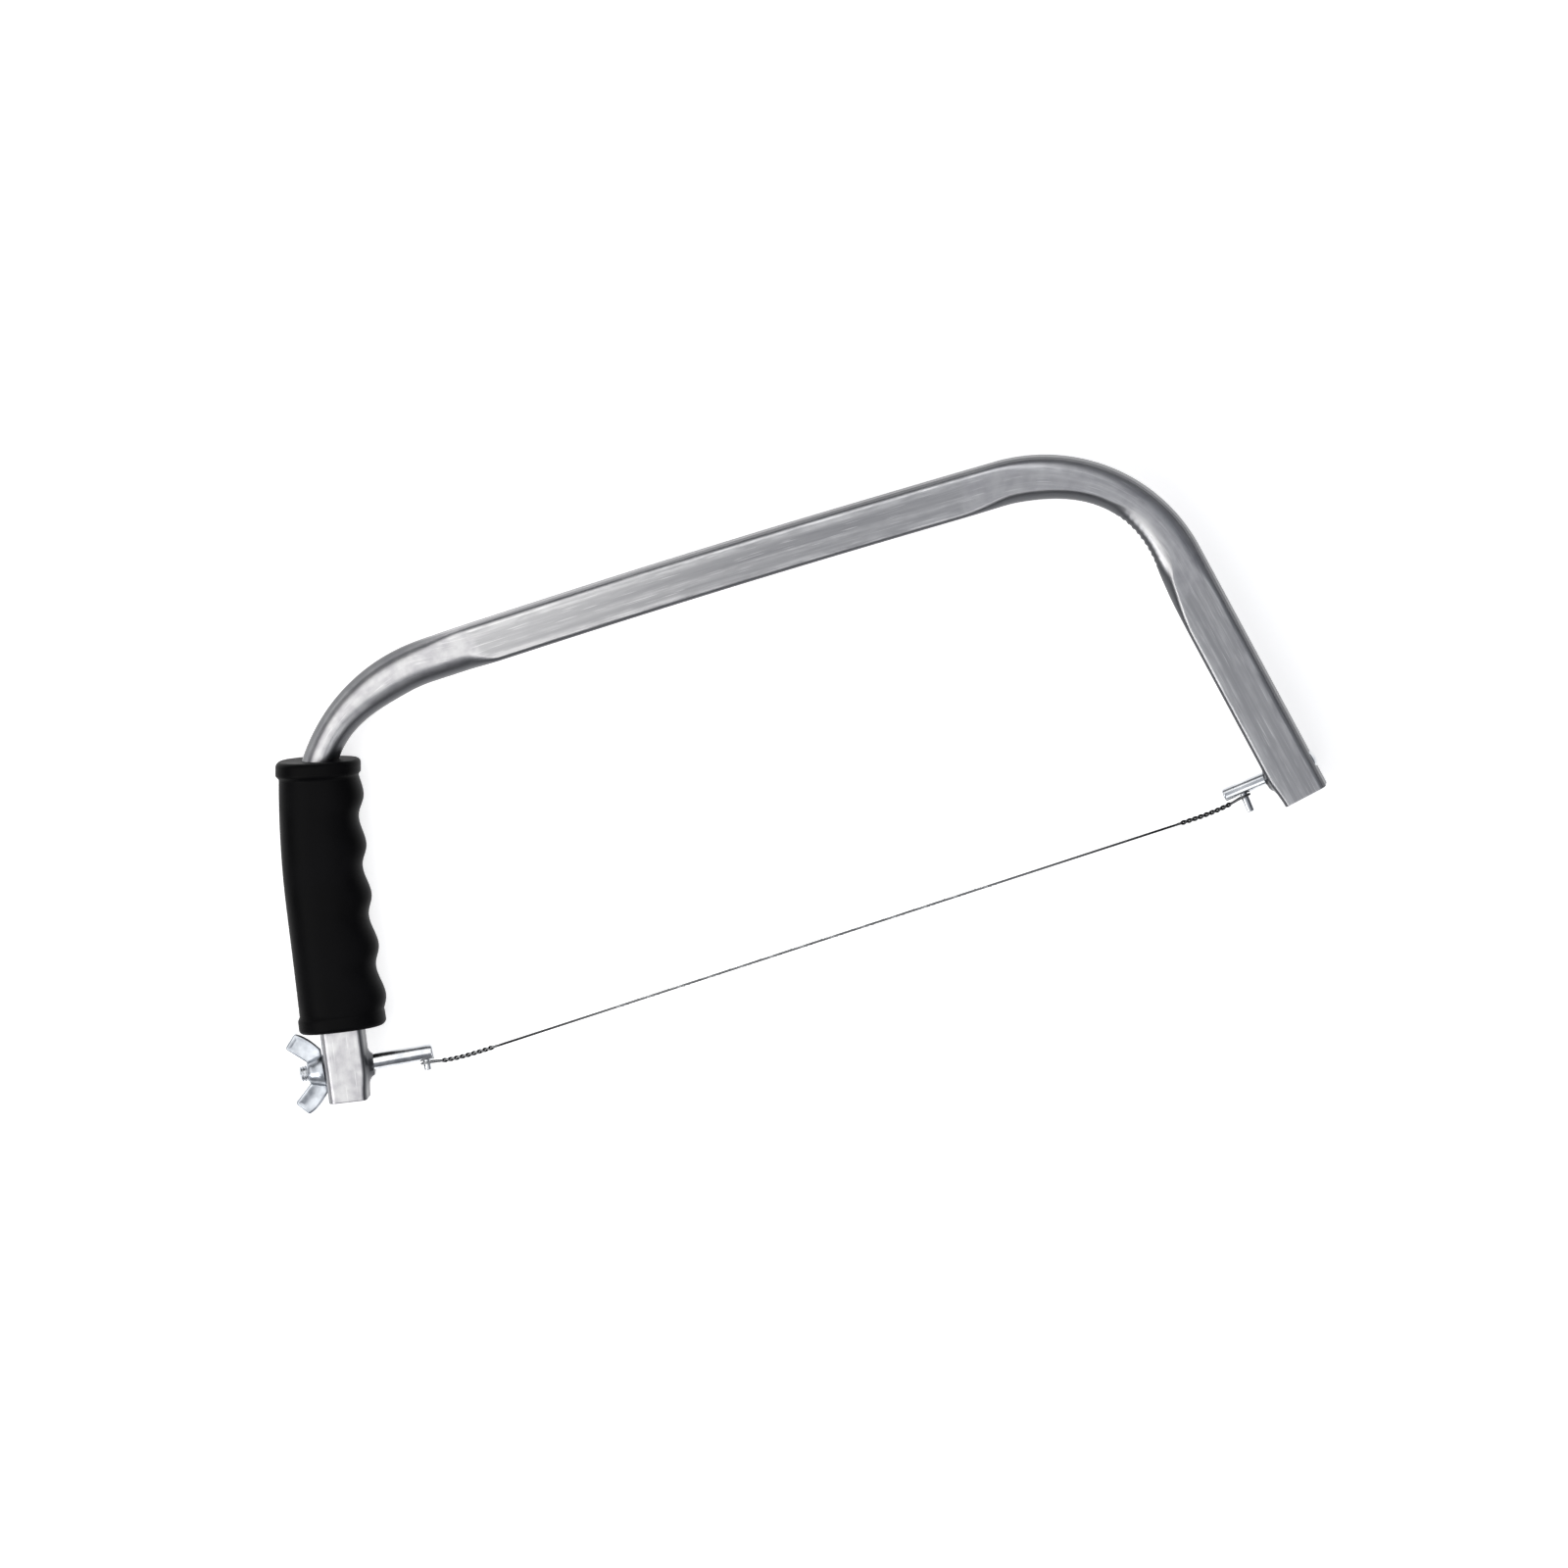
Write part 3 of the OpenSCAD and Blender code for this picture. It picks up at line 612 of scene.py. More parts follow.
@dataclass
class Bow:
    """The bent square tube, with a flare round each rod and open ends.

    A length s runs along the tube's centreline from the leg's open end.
    """

    wire_span: float = 400.0
    back_height: float = 178.7
    back_fall: float = 1.1
    back_bow: float = 1.4
    leg_splay: float = 11.3
    arm_splay: float = 9.8
    near_bend_r: float = 76.7
    far_bend_r: float = 70.2
    depth: float = 20.0
    leg_w: float = 19.6
    back_w: float = 20.2
    arm_w: float = 22.6
    wall: float = 1.5
    edge: float = 0.35
    # What the dies did: corners, how far the inner side is pressed in, a scoop and small folds
    outer_corner: Corner = Corner(3.4, 3.4)
    inner_corner: Corner = Corner(2.5, 3.0)
    near_inner: DieWork = DieWork(Corner(9.6, 9.2), 20.0, 33.0, 18.0)
    near_outer: DieWork = DieWork(Corner(9.0, 9.2), 20.0, 20.0, 34.0)
    far_inner: DieWork = DieWork(Corner(5.2, 6.6, 1.4), 22.0, 36.0, 30.0)
    far_outer: DieWork = DieWork(Corner(8.0, 4.0), 6.0, 26.0, 40.0)
    far_scoop: DieWork = DieWork(Corner(10.0, 5.5), -55.0, 10.0, 16.0)
    die_press: float = 4.1
    near_press: Pair = (0.42, 46.0)
    far_press: Pair = (0.65, 55.0)
    mouth_press: float = 1.6
    mouth_len: float = 16.0
    ripple_h: float = 0.45
    ripple_pitch: float = 3.4
    ripple_share: Pair = (0.6, 1.02)
    ripple_fade: float = 8.0
    # Where the dies' marks end past the bends, and how much of the drawing lines they wiped away
    mark_slant: float = 7.0
    mark_fade: float = 3.0
    near_mark: float = 22.0
    far_mark: float = 14.0
    near_wiped: float = 0.85
    far_wiped: float = 0.5
    leg_wiped: float = 0.15
    leg_fade: float = 40.0
    # How much painted shade darkens the side walls: a lean is that of a corner's normal to the
    # side, from 0 to 1
    least_outer_shade: float = 0.5
    bare_len: float = 40.0
    bare_fade: float = 4.0
    # Along the back the outer wall's painted shade is lighter
    lit_back_before: float = 10.0
    lit_back_fade: float = 30.0
    inner_lean: float = 0.15
    outer_lean: float = 0.4
    lean_fade: float = 0.6
    # The bright long edges, worn and with a painted highlight: the lean where they are brightest,
    # and how wide they are
    bright_edge_lean: float = 0.18
    bright_edge_fade: float = 0.16
    bright_edge_share: float = 0.6
    bright_edge_w: float = 1.4
    flare_half_len: float = 13.0
    flare_half_depth: float = 8.3
    flare_lip: float = 1.4
    near_flare_h: float = 3.0
    far_flare_h: float = 1.6
    flare_shells: int = 161
    hook_drop: float = 15.8
    hook_tilt: float = 3.2
    hook_reach: float = 37.0
    shank_d: float = 7.4
    anchor_drop: float = 14.6
    anchor_tilt: float = 5.3
    anchor_reach: float = 24.4
    anchor_d: float = 6.0
    eye_drop: float = 0.25
    wire_d: float = 1.1
    # Fineness of the mesh: the ends with their flares, the plain tube, and the folds
    corner_points: int = 13
    side_points: int = 15
    end_len: float = 34.0
    end_steps: int = 58
    step: float = 2.2
    fold_step: float = 0.7
    fold_from: float = 54.0
    fold_past: float = 4.0

    def __post_init__(self) -> None:
        """Work out the places of the rods, the corners and the bends."""
        self.leg_heading = 90 - self.leg_splay
        self.back_heading = -self.back_fall
        self.arm_heading = self.arm_splay - 90
        hook_heading = self.hook_tilt - self.leg_splay
        anchor_heading = self.arm_splay - self.anchor_tilt
        near_drop, far_drop = (
            rod_d / 2 + self.eye_drop + self.wire_d / 2 for rod_d in (self.shank_d, self.anchor_d))
        self.hook = Rod(
            near_drop * across(hook_heading) - self.hook_reach * along(hook_heading), hook_heading)
        self.anchor = Rod(
            np.array((self.wire_span, 0.0)) + far_drop * across(anchor_heading)
            + self.anchor_reach * along(anchor_heading), anchor_heading, -1.0)
        back_at = np.array((0.0, self.back_height))
        self.near_corner = meet(self.hook.at, self.leg_heading, back_at, self.back_heading)
        self.far_corner = meet(self.anchor.at, self.arm_heading, back_at, self.back_heading)
        self.leg_end = self.hook.at - self.hook_drop * along(self.leg_heading)
        self.arm_end = self.anchor.at + self.anchor_drop * along(self.arm_heading)
        near_turn = math.radians(self.leg_heading - self.back_heading)
        far_turn = math.radians(self.back_heading - self.arm_heading)
        self.near_tangent = self.near_bend_r * math.tan(near_turn / 2)
        far_tangent = self.far_bend_r * math.tan(far_turn / 2)
        self.bend_1 = math.dist(self.near_corner, self.leg_end) - self.near_tangent
        self.bend_2 = self.bend_1 + self.near_bend_r * near_turn
        self.bend_3 = (self.bend_2 + math.dist(self.far_corner, self.near_corner)
                       - self.near_tangent - far_tangent)
        self.bend_4 = self.bend_3 + self.far_bend_r * far_turn
        self.length = self.bend_4 + math.dist(self.arm_end, self.far_corner) - far_tangent
        self.near_centre = (self.leg_end + self.bend_1 * along(self.leg_heading)
                            - self.near_bend_r * across(self.leg_heading))
        self.far_centre = (self.far_corner - far_tangent * along(self.back_heading)
                           - self.far_bend_r * across(self.back_heading))

    def track(self, s: float) -> tuple[Array, float]:
        """Give the centreline.

        Args:
            s: Length along the tube.

        Returns:
            The point there, in the drawing, and the heading.
        """
        leg, back, arm = self.leg_heading, self.back_heading, self.arm_heading
        if s < self.bend_1:
            return self.leg_end + s * along(leg), leg
        if s < self.bend_2:
            turned = leg - math.degrees((s - self.bend_1) / self.near_bend_r)
            return self.near_centre + self.near_bend_r * across(turned), turned
        if s < self.bend_3:
            share = (s - self.bend_2) / (self.bend_3 - self.bend_2)
            return (self.near_corner + (self.near_tangent + s - self.bend_2) * along(back)
                    + self.back_bow * math.sin(math.pi * share) * across(back)), back
        if s < self.bend_4:
            turned = back - math.degrees((s - self.bend_3) / self.far_bend_r)
            return self.far_centre + self.far_bend_r * across(turned), turned
        return self.arm_end - (self.length - s) * along(arm), arm

    def width(self, s: float) -> float:
        """Return the tube's width in the plane of the bow."""
        near, far = ((s - start) / (stop - start) for start, stop in self.bends())
        return (self.leg_w + (self.back_w - self.leg_w) * ease(near)
                + (self.arm_w - self.back_w) * ease(far))

    def bends(self) -> tuple[Pair, Pair]:
        """Return where each bend starts and stops."""
        return (self.bend_1, self.bend_2), (self.bend_3, self.bend_4)

    def corners(self, s: float) -> tuple[Corner, Corner]:
        """Give the corners of the section.

        Args:
            s: Length along the tube.

        Returns:
            The outer and the inner corner there.
        """
        near_bend, far_bend = self.bends()
        outer, inner = (
            plain.towards(near.corner, near.share(s, *near_bend))
            .towards(far.corner, far.share(s, *far_bend))
            for plain, near, far in (
                (self.outer_corner, self.near_outer, self.far_outer),
                (self.inner_corner, self.near_inner, self.far_inner)))
        return outer, inner.towards(self.far_scoop.corner, self.far_scoop.share(s, *far_bend))

    def calm(self, s: float, across_share: Array) -> Array:
        """Tell where the drawing lines are wiped away: on the leg and where a die gripped it.

        Args:
            s: Length along the tube.
            across_share: Place of each point across the tube, from -1 inside to 1 outside.

        Returns:
            A shade from 0 to 1 at each point.
        """
        # The die's edge lay aslant, so its mark reaches furthest at the inner side
        slant = self.mark_slant * (1 - across_share) / 2
        near = ease((self.bend_2 + self.near_mark + slant - s) / self.mark_fade)
        far = (ease((s - self.bend_3 + self.far_mark + slant) / self.mark_fade)
               * ease((self.bend_4 + self.far_mark + slant - s) / self.mark_fade))
        leg = self.leg_wiped * ease((self.bend_1 - s) / self.leg_fade)
        return np.maximum(self.near_wiped * near, self.far_wiped * far) + leg * near

    def ripple(self, s: float) -> float:
        """Give the height of the small folds that bending left inside the far bend.

        Args:
            s: Length along the tube.

        Returns:
            The height there.
        """
        first, last = self.bends()[1]
        start, stop = (first + share * (last - first) for share in self.ripple_share)
        window = ease((s - start) / self.ripple_fade) * ease((stop - s) / self.ripple_fade)
        return self.ripple_h * window * math.sin(math.pi * (s - start) / self.ripple_pitch) ** 2

    def pressed(self, s: float) -> float:
        """Give how far the inner side is pressed in, by bending and at the open ends.

        Args:
            s: Length along the tube.

        Returns:
            The depth there.
        """
        depth = self.mouth_press * (1 - ease(min(s, self.length - s) / self.mouth_len))
        for (start, stop), (share, reach) in zip(self.bends(), (self.near_press, self.far_press)):
            off = abs(s - start - share * (stop - start))
            depth += self.die_press * (1 - ease(off / reach))
        return depth

    def outer_wall_shade(self, s: float) -> float:
        """Tell the outer wall's painted shade: least where it is bare, and along the back.

        Args:
            s: Length along the tube.

        Returns:
            A shade up to 1.
        """
        lit_back = (ease((s - self.bend_2 + self.lit_back_before) / self.lit_back_fade)
                 * ease((self.bend_3 - s) / (self.bend_3 - self.bend_2)))
        bare = ease((self.bare_len - s) / self.bare_fade)
        return 1 - (1 - self.least_outer_shade) * max(lit_back, bare)

    def flare(self, y: float, up: Array, lip: float, rise: float) -> Array:
        """Give the height of the flare that was drawn out of the wall round a rod.

        Args:
            y: Distance along the tube from the rod's middle.
            up: Distances from the bow's middle plane.
            lip: Radius of the flare's lip.
            rise: Height of the lip.

        Returns:
            The height over the wall at each point.
        """
        shares = np.linspace(0, 1, self.flare_shells)
        half_len = lip + (self.flare_half_len - lip) * shares
        half_depth = lip + (self.flare_half_depth - lip) * shares
        inside = (y / half_len) ** 2 + (up[:, None] / half_depth) ** 2 <= 1
        share = 1 - inside.mean(axis=1)
        return rise * (1 - np.sqrt(np.maximum(0.0, 1 - (1 - share) ** 2)))

    def draw_flares(self, s: float, ring: Array) -> None:
        """Draw the flares round both rods out of the inner side of a section.

        Args:
            s: Length along the tube.
            ring: The section's points, which are changed.
        """
        for rod_s, tilt, w, rod_d, rise in (
            (self.hook_drop, self.hook_tilt, self.leg_w, self.shank_d, self.near_flare_h),
            (self.length - self.anchor_drop, -self.anchor_tilt, self.arm_w, self.anchor_d,
             self.far_flare_h),
        ):
            y = s - rod_s + w / 2 * math.tan(math.radians(tilt))
            if abs(y) < self.flare_half_len:
                low = ring[:, 0] < 0
                ring[low, 0] -= self.flare(y, ring[low, 1], rod_d / 2 + self.flare_lip, rise)

    def section(self, s: float, grow: float) -> tuple[Array, Array, Array]:
        """Give one section of the tube.

        Args:
            s: Length along the tube.
            grow: How far the section is grown outwards.

        Returns:
            Points (out of the bow, up), the painted shade on the side walls at each point, and how
            far each lies on an edge, as shades from 0 to 1.
        """
        outer, inner = self.corners(s)
        pressed = self.pressed(s)
        fit = min(1.0, (self.width(s) - pressed) / (outer.out + inner.out))
        outer, inner = (corner.grown(grow, fit, self.wall / 2) for corner in (outer, inner))
        half_out, half_in = self.width(s) / 2 + grow, self.width(s) / 2 - pressed + grow
        half_up, dull = self.depth / 2 + grow, self.outer_wall_shade(s)
        arcs, leans, points, painted_shades, edges = [], [], [], [], []
        for k, (x, y) in enumerate(((1, 1), (-1, 1), (-1, -1), (1, -1))):
            corner, half = (outer, half_out) if x > 0 else (inner, half_in)
            arc, lean = corner.arc(
                np.linspace(k * QUARTER, (k + 1) * QUARTER, self.corner_points))
            arc = arc + (x * (half - corner.out), y * (half_up - corner.up))
            if x < 0:
                arc[:, 0] += self.ripple(s) * lean ** 2
            arcs.append(arc)
            leans.append(lean)
        # A side follows each corner: the upper face, inner wall, lower face and outer wall. Each
        # side lists its corner's painted shade, the lean where that starts, its own painted shade,
        # and its share of bright edge; dull is the outer wall's painted shade along the tube
        sides = ((dull, self.outer_lean, 0.0, self.bright_edge_share), (1.0, self.inner_lean, 1.0, 0.0),
                 (1.0, self.inner_lean, 0.0, self.bright_edge_share), (dull, self.outer_lean, dull, 0.0))
        shares = np.linspace(0, 1, self.side_points + 2)[1:-1, None]
        for k, (amount, least, side_painted_shade, wear_and_highlight) in enumerate(sides):
            start, stop = arcs[k][-1], arcs[(k + 1) % 4][0]
            points += [arcs[k], start + (stop - start) * shares]
            painted_shades += [amount * ease((leans[k] - least) / self.lean_fade),
                      np.full(self.side_points, side_painted_shade)]
            gap = np.minimum(shares, 1 - shares)[:, 0] * math.dist(start, stop)
            edges += [np.exp(-((leans[k] - self.bright_edge_lean) / self.bright_edge_fade) ** 2),
                      wear_and_highlight * np.exp(-(gap / self.bright_edge_w) ** 2)]
        ring = np.concatenate(points)
        if grow > -self.wall / 2:
            self.draw_flares(s, ring)
        return ring, np.concatenate(painted_shades), np.concatenate(edges)

    def ring(self, s: float, grow: float) -> tuple[Array, dict[str, Array]]:
        """Give one section at its place in the drawing.

        Args:
            s: Length along the tube.
            grow: How far the section is grown outwards.

        Returns:
            Its points, and their shades by name.
        """
        flat, painted_shade, edge = self.section(s, grow)
        at, heading = self.track(s)
        where = at + flat[:, :1] * across(heading)
        calm = self.calm(s, flat[:, 0] / (self.width(s) / 2))
        # The inside of the tube gets the full painted shade
        if grow < -self.edge:
            painted_shade = np.ones(len(painted_shade))
        return np.concatenate((where, flat[:, 1:]), axis=1), {
            "painted_shade": painted_shade, "calm": calm, "edge": edge * (1 - calm)}

    def build(self) -> Obj:
        """Make the tube with its inside and its rounded open ends.

        Returns:
            The tube.
        """
        plain_stop = self.length - self.end_len
        stations = np.unique(np.round(np.concatenate((
            np.linspace(self.edge, self.end_len, self.end_steps),
            np.arange(self.end_len, plain_stop, self.step),
            np.arange(self.bend_3 + self.fold_from, self.bend_4 + self.fold_past, self.fold_step),
            np.linspace(plain_stop, self.length - self.edge, self.end_steps))), 2))
        outer = [(s, 0.0) for s in stations]
        inner = [(s, -self.wall) for s in stations[::-3]]
        lip = round_edge(0.0, 0.0, self.edge)[1:]
        far_lip = [(self.length + x, r) for x, r in lip]
        far_lip += [(self.length + r, -self.wall - x) for x, r in lip]
        near_lip = [(self.length - s, grow) for s, grow in far_lip[::-1]]
        rows = outer + far_lip + inner + near_lip
        made = [self.ring(s, grow) for s, grow in rows]
        shades = {name: np.array([found[name] for _, found in made]) for name in made[0][1]}
        return loft("bent_square_tube", placed(np.array([points for points, _ in made])),
                    [s * MM for s, _ in rows], Ends.JOINED, shades)


@dataclass
class Grip:
    """The moulded finger grip on the leg. A length t runs along it from its lower end."""

    bow: Bow
    bare: float = 33.5
    length: float = 126.0
    out: float = 18.2
    inside: float = 19.0
    half_depth: float = 15.6
    ridge_h: float = 2.7
    ridge_pitch: float = 23.8
    ridge_start: float = 13.4
    groove_share: float = 0.57
    low_swell: float = 0.8
    top_taper: float = 1.0
    low_flange_h: float = 1.0
    top_flange_h: float = 1.6
    flange_len: float = 6.0
    flange_round: float = 2.2
    exit_shift: float = 3.2
    oval_power: float = 2.5
    straight_share: float = 0.45
    hole_sink: float = 0.2
    sides: int = 96
    steps: int = 150
    edge_steps: int = 9

    def __post_init__(self) -> None:
        """Work out how far the grip leans after the bend."""
        self.lean_from = self.length * self.straight_share
        turn = math.asin((self.bare + self.length - self.bow.bend_1) / self.bow.near_bend_r)
        self.shift = self.bow.near_bend_r * (1 - math.cos(turn)) - self.exit_shift
        self.ridge_count = math.floor(
            (self.length - self.ridge_start - self.flange_len) / self.ridge_pitch) + 1

    def lean(self, t: float) -> float:
        """Return from 0 to 1 how far along its leaning part a place on the grip lies."""
        return max(0.0, t - self.lean_from) / (self.length - self.lean_from)

    def spot(self, t: float) -> Array:
        """Return the grip's middle at a length, in the drawing."""
        h = self.bow.leg_heading
        return (self.bow.leg_end + (self.bare + t) * along(h)
                - self.shift * self.lean(t) ** 2 * across(h))

    def heading(self, t: float) -> float:
        """Return the grip's heading at a length."""
        return self.bow.leg_heading - math.degrees(
            math.atan(self.shift * self.lean(t) / (self.length - self.lean_from)))

    def ridge(self, t: float) -> float:
        """Give the height of the finger ridges.

        Args:
            t: Length along the grip.

        Returns:
            The height there.
        """
        q, g = (t - self.ridge_start) / self.ridge_pitch, self.groove_share
        f = q - math.floor(q)
        if q < g - 1 or q > self.ridge_count - 1 + g:
            return 0.0
        return self.ridge_h * (1 - ease(f / g) if f < g else ease((f - g) / (1 - g)))

    def lift(self, e: float, h: float) -> float:
        """Return how far a flange stands out at a distance from its end of the grip."""
        return h * (1 - ease((e - self.flange_len) / self.flange_round))

    def rounding(self, e: float) -> float:
        """Return how far the rounded edge draws back at a distance from an end, as a negative."""
        r = self.flange_round
        return 0.0 if e >= r else math.sqrt(max(0.0, r * r - (r - e) ** 2)) - r

    def section(self, t: float) -> Array:
        """Give the grip's oval section.

        Args:
            t: Length along the grip.

        Returns:
            Points (out of the bow, up).
        """
        rim = self.lift(t, self.low_flange_h) + self.lift(self.length - t, self.top_flange_h)
        ends = self.rounding(t) + self.rounding(self.length - t)
        swell = self.low_swell * (1 - t / self.length) ** 3
        taper = self.top_taper * (t / self.length) ** 4
        half_out = self.out + rim + ends + swell
        half_in = self.inside + max(rim, self.ridge(t)) + ends + swell - taper
        half_up = self.half_depth + rim + ends
        c, u = (squared(wave(circle(self.sides)), self.oval_power) for wave in (np.cos, np.sin))
        return np.stack((np.where(c > 0, half_out, half_in) * c, half_up * u), axis=-1)

    def at(self, t: float, flat: Array) -> Array:
        """Return a flat section's points at their place in the drawing."""
        where = self.spot(t) + flat[:, :1] * across(self.heading(t))
        return np.concatenate((where, flat[:, 1:]), axis=1)

    def hole(self, t: float) -> Array:
        """Give the outline of the tube in an end face of the grip, just inside the tube's wall.

        Args:
            t: Length of that end face along the grip.

        Returns:
            One point for each point of the grip's section, in the same directions.
        """
        middle, way, side = self.spot(t), along(self.heading(t)), across(self.heading(t))
        # Halve the range 40 times to find where the tube's centreline crosses the face
        low, high = 0.0, self.bow.bend_2
        for _ in range(40):
            s = (low + high) / 2
            if (self.bow.track(s)[0] - middle) @ way < 0:
                low = s
            else:
                high = s
        points, _ = self.bow.ring(low, -self.hole_sink * self.bow.wall)
        run = along(self.bow.track(low)[1])
        flat = points[:, :2] - ((points[:, :2] - middle) @ way / (run @ way))[:, None] * run
        u, v = (flat - middle) @ side, points[:, 2]
        found, size = np.arctan2(v, u), np.hypot(u, v)
        order = np.argsort(found)
        wanted = self.section(t)
        angle = np.arctan2(wanted[:, 1], wanted[:, 0])
        reach = np.interp(angle, found[order], size[order], period=math.tau)
        return np.stack((reach * np.cos(angle), reach * np.sin(angle)), axis=-1)

    def build(self) -> Obj:
        """Make the grip, closed on to the tube at both ends.

        Returns:
            The grip.
        """
        r, stop = self.flange_round, self.length
        edge = [r * (1 - math.cos(a)) for a in np.linspace(0, QUARTER, self.edge_steps)]
        middle = np.linspace(r, stop - r, self.steps)
        stations = [*edge[:-1], *middle, *(stop - e for e in edge[-2::-1])]
        rings = [self.at(0, self.hole(0)), *(self.at(t, self.section(t)) for t in stations),
                 self.at(stop, self.hole(stop))]
        # The closing faces run about 15 mm from the rim to the tube
        runs = [t * MM for t in (-15.0, *stations, stop + 15.0)]
        return loft("finger_grip", placed(np.array(rings)), runs, Ends.OPEN)


@dataclass
class Peg:
    """A steel cross peg, flush with the far side of its rod and out of the near side."""

    rod: Rod
    at: float
    rod_d: float
    out: float
    diameter: float = 3.6
    bevel: float = 0.45
    burr: float = 0.05
    sides: int = 40

    def build(self, name: str) -> Obj:
        """Make the peg.

        Args:
            name: Name of the new object.

        Returns:
            The peg.
        """
        r = self.diameter / 2
        top = math.sqrt((self.rod_d / 2) ** 2 - r * r)
        low = -self.rod_d / 2 - self.out
        profile = [(top, TIP_R), (top, r - self.burr), (top - self.burr, r)]
        profile += [(-x, r_x) for x, r_x in round_edge(-low, r, self.bevel)] + [(low, TIP_R)]
        spin = spun(profile, self.sides)
        rings = np.stack((self.at + spin[..., 1], spin[..., 0], spin[..., 2]), axis=-1)
        return loft(name, self.rod.points(rings), [abs(y - top) * MM for y, _ in profile],
                    Ends.CAPPED)


@dataclass
class TensionRod:
    """The rod that draws the wire taut: a threaded end outside the leg, and a plain shank."""

    bow: Bow
    thread_out: float = 12.5
    crest_r: float = 3.88
    root_r: float = 3.3
    pitch: float = 1.25
    root_share: float = 0.2
    flank_share: float = 0.62
    start_sink: float = 0.3
    start_r: float = 2.7
    turn_steps: int = 10
    shank_tip: float = 4.0
    shoulder_gap: float = 3.5
    bevel: float = 0.9
    crease: float = 60.0
    sides: int = 64

    def thread(self, x: float, start: float) -> Array:
        """Give the thread's radius round the rod.

        Args:
            x: Place along the rod.
            start: Place of the threaded end's face, where the crests fade into a bevel.

        Returns:
            The radius at each angle.
        """
        wave = (x / self.pitch - circle(self.sides) / math.tau) % 1.0
        ridge = (1 - np.abs(2 * wave - 1) - self.root_share) / self.flank_share
        crest = min(self.crest_r, self.root_r - self.start_sink + (x - start))
        return np.minimum(self.root_r + (self.crest_r - self.root_r) * np.clip(ridge, 0.0, 1.0),
                          max(crest, self.start_r))

    def build(self) -> Obj:
        """Make the rod.

        Returns:
            The rod.
        """
        start = -self.bow.leg_w / 2 - self.thread_out
        shoulder = self.bow.wall - self.bow.leg_w / 2 + self.shoulder_gap
        stop, r = self.bow.hook_reach + self.shank_tip, self.bow.shank_d / 2
        rows = [(start, TIP_R)]
        rows += [(x, self.thread(x, start))
                 for x in np.arange(start, shoulder, self.pitch / self.turn_steps)]
        rows += [(shoulder, r), (0.0, r), (self.bow.hook_reach, r),
                 *round_edge(stop, r, self.bevel), (stop, TIP_R)]
        return loft("threaded_tension_rod", self.bow.hook.points(spun(rows, self.sides)),
                    [(x - start) * MM for x, _ in rows], Ends.CAPPED, crease=self.crease)


@dataclass
class AnchorRod:
    """The rod riveted through the arm, with its domed head on the outside."""

    bow: Bow
    tip: float = 8.8
    bevel: float = 0.9
    rivet_d: float = 7.4
    rivet_h: float = 1.4
    rivet_sink: float = 0.4

    def build(self) -> Obj:
        """Make the rod with its head.

        Returns:
            The rod.
        """
        r, w = self.bow.anchor_d / 2, self.bow.arm_w
        stop = self.bow.anchor_reach + self.tip
        start = -w / 2 - self.rivet_h / 2
        shank = [(start, TIP_R), (start, r), *round_edge(stop, r, self.bevel), (stop, TIP_R)]
        rod = self.bow.anchor.turned("riveted_anchor_rod", shank, Ends.CAPPED)
        drop = w / 2 * math.tan(math.radians(self.bow.anchor_tilt))
        splay = self.bow.arm_splay
        head = Rod(self.bow.anchor.at - drop * across(splay), splay, -1.0)
        dome = [(-w / 2 + self.rivet_sink, self.rivet_d / 2)]
        dome += [(-w / 2 - self.rivet_h * math.sin(a), self.rivet_d / 2 * math.cos(a) + TIP_R)
                 for a in np.linspace(0, QUARTER, 12)]
        return join([rod, head.turned("rivet_head", dome, Ends.CAPPED, 48)])


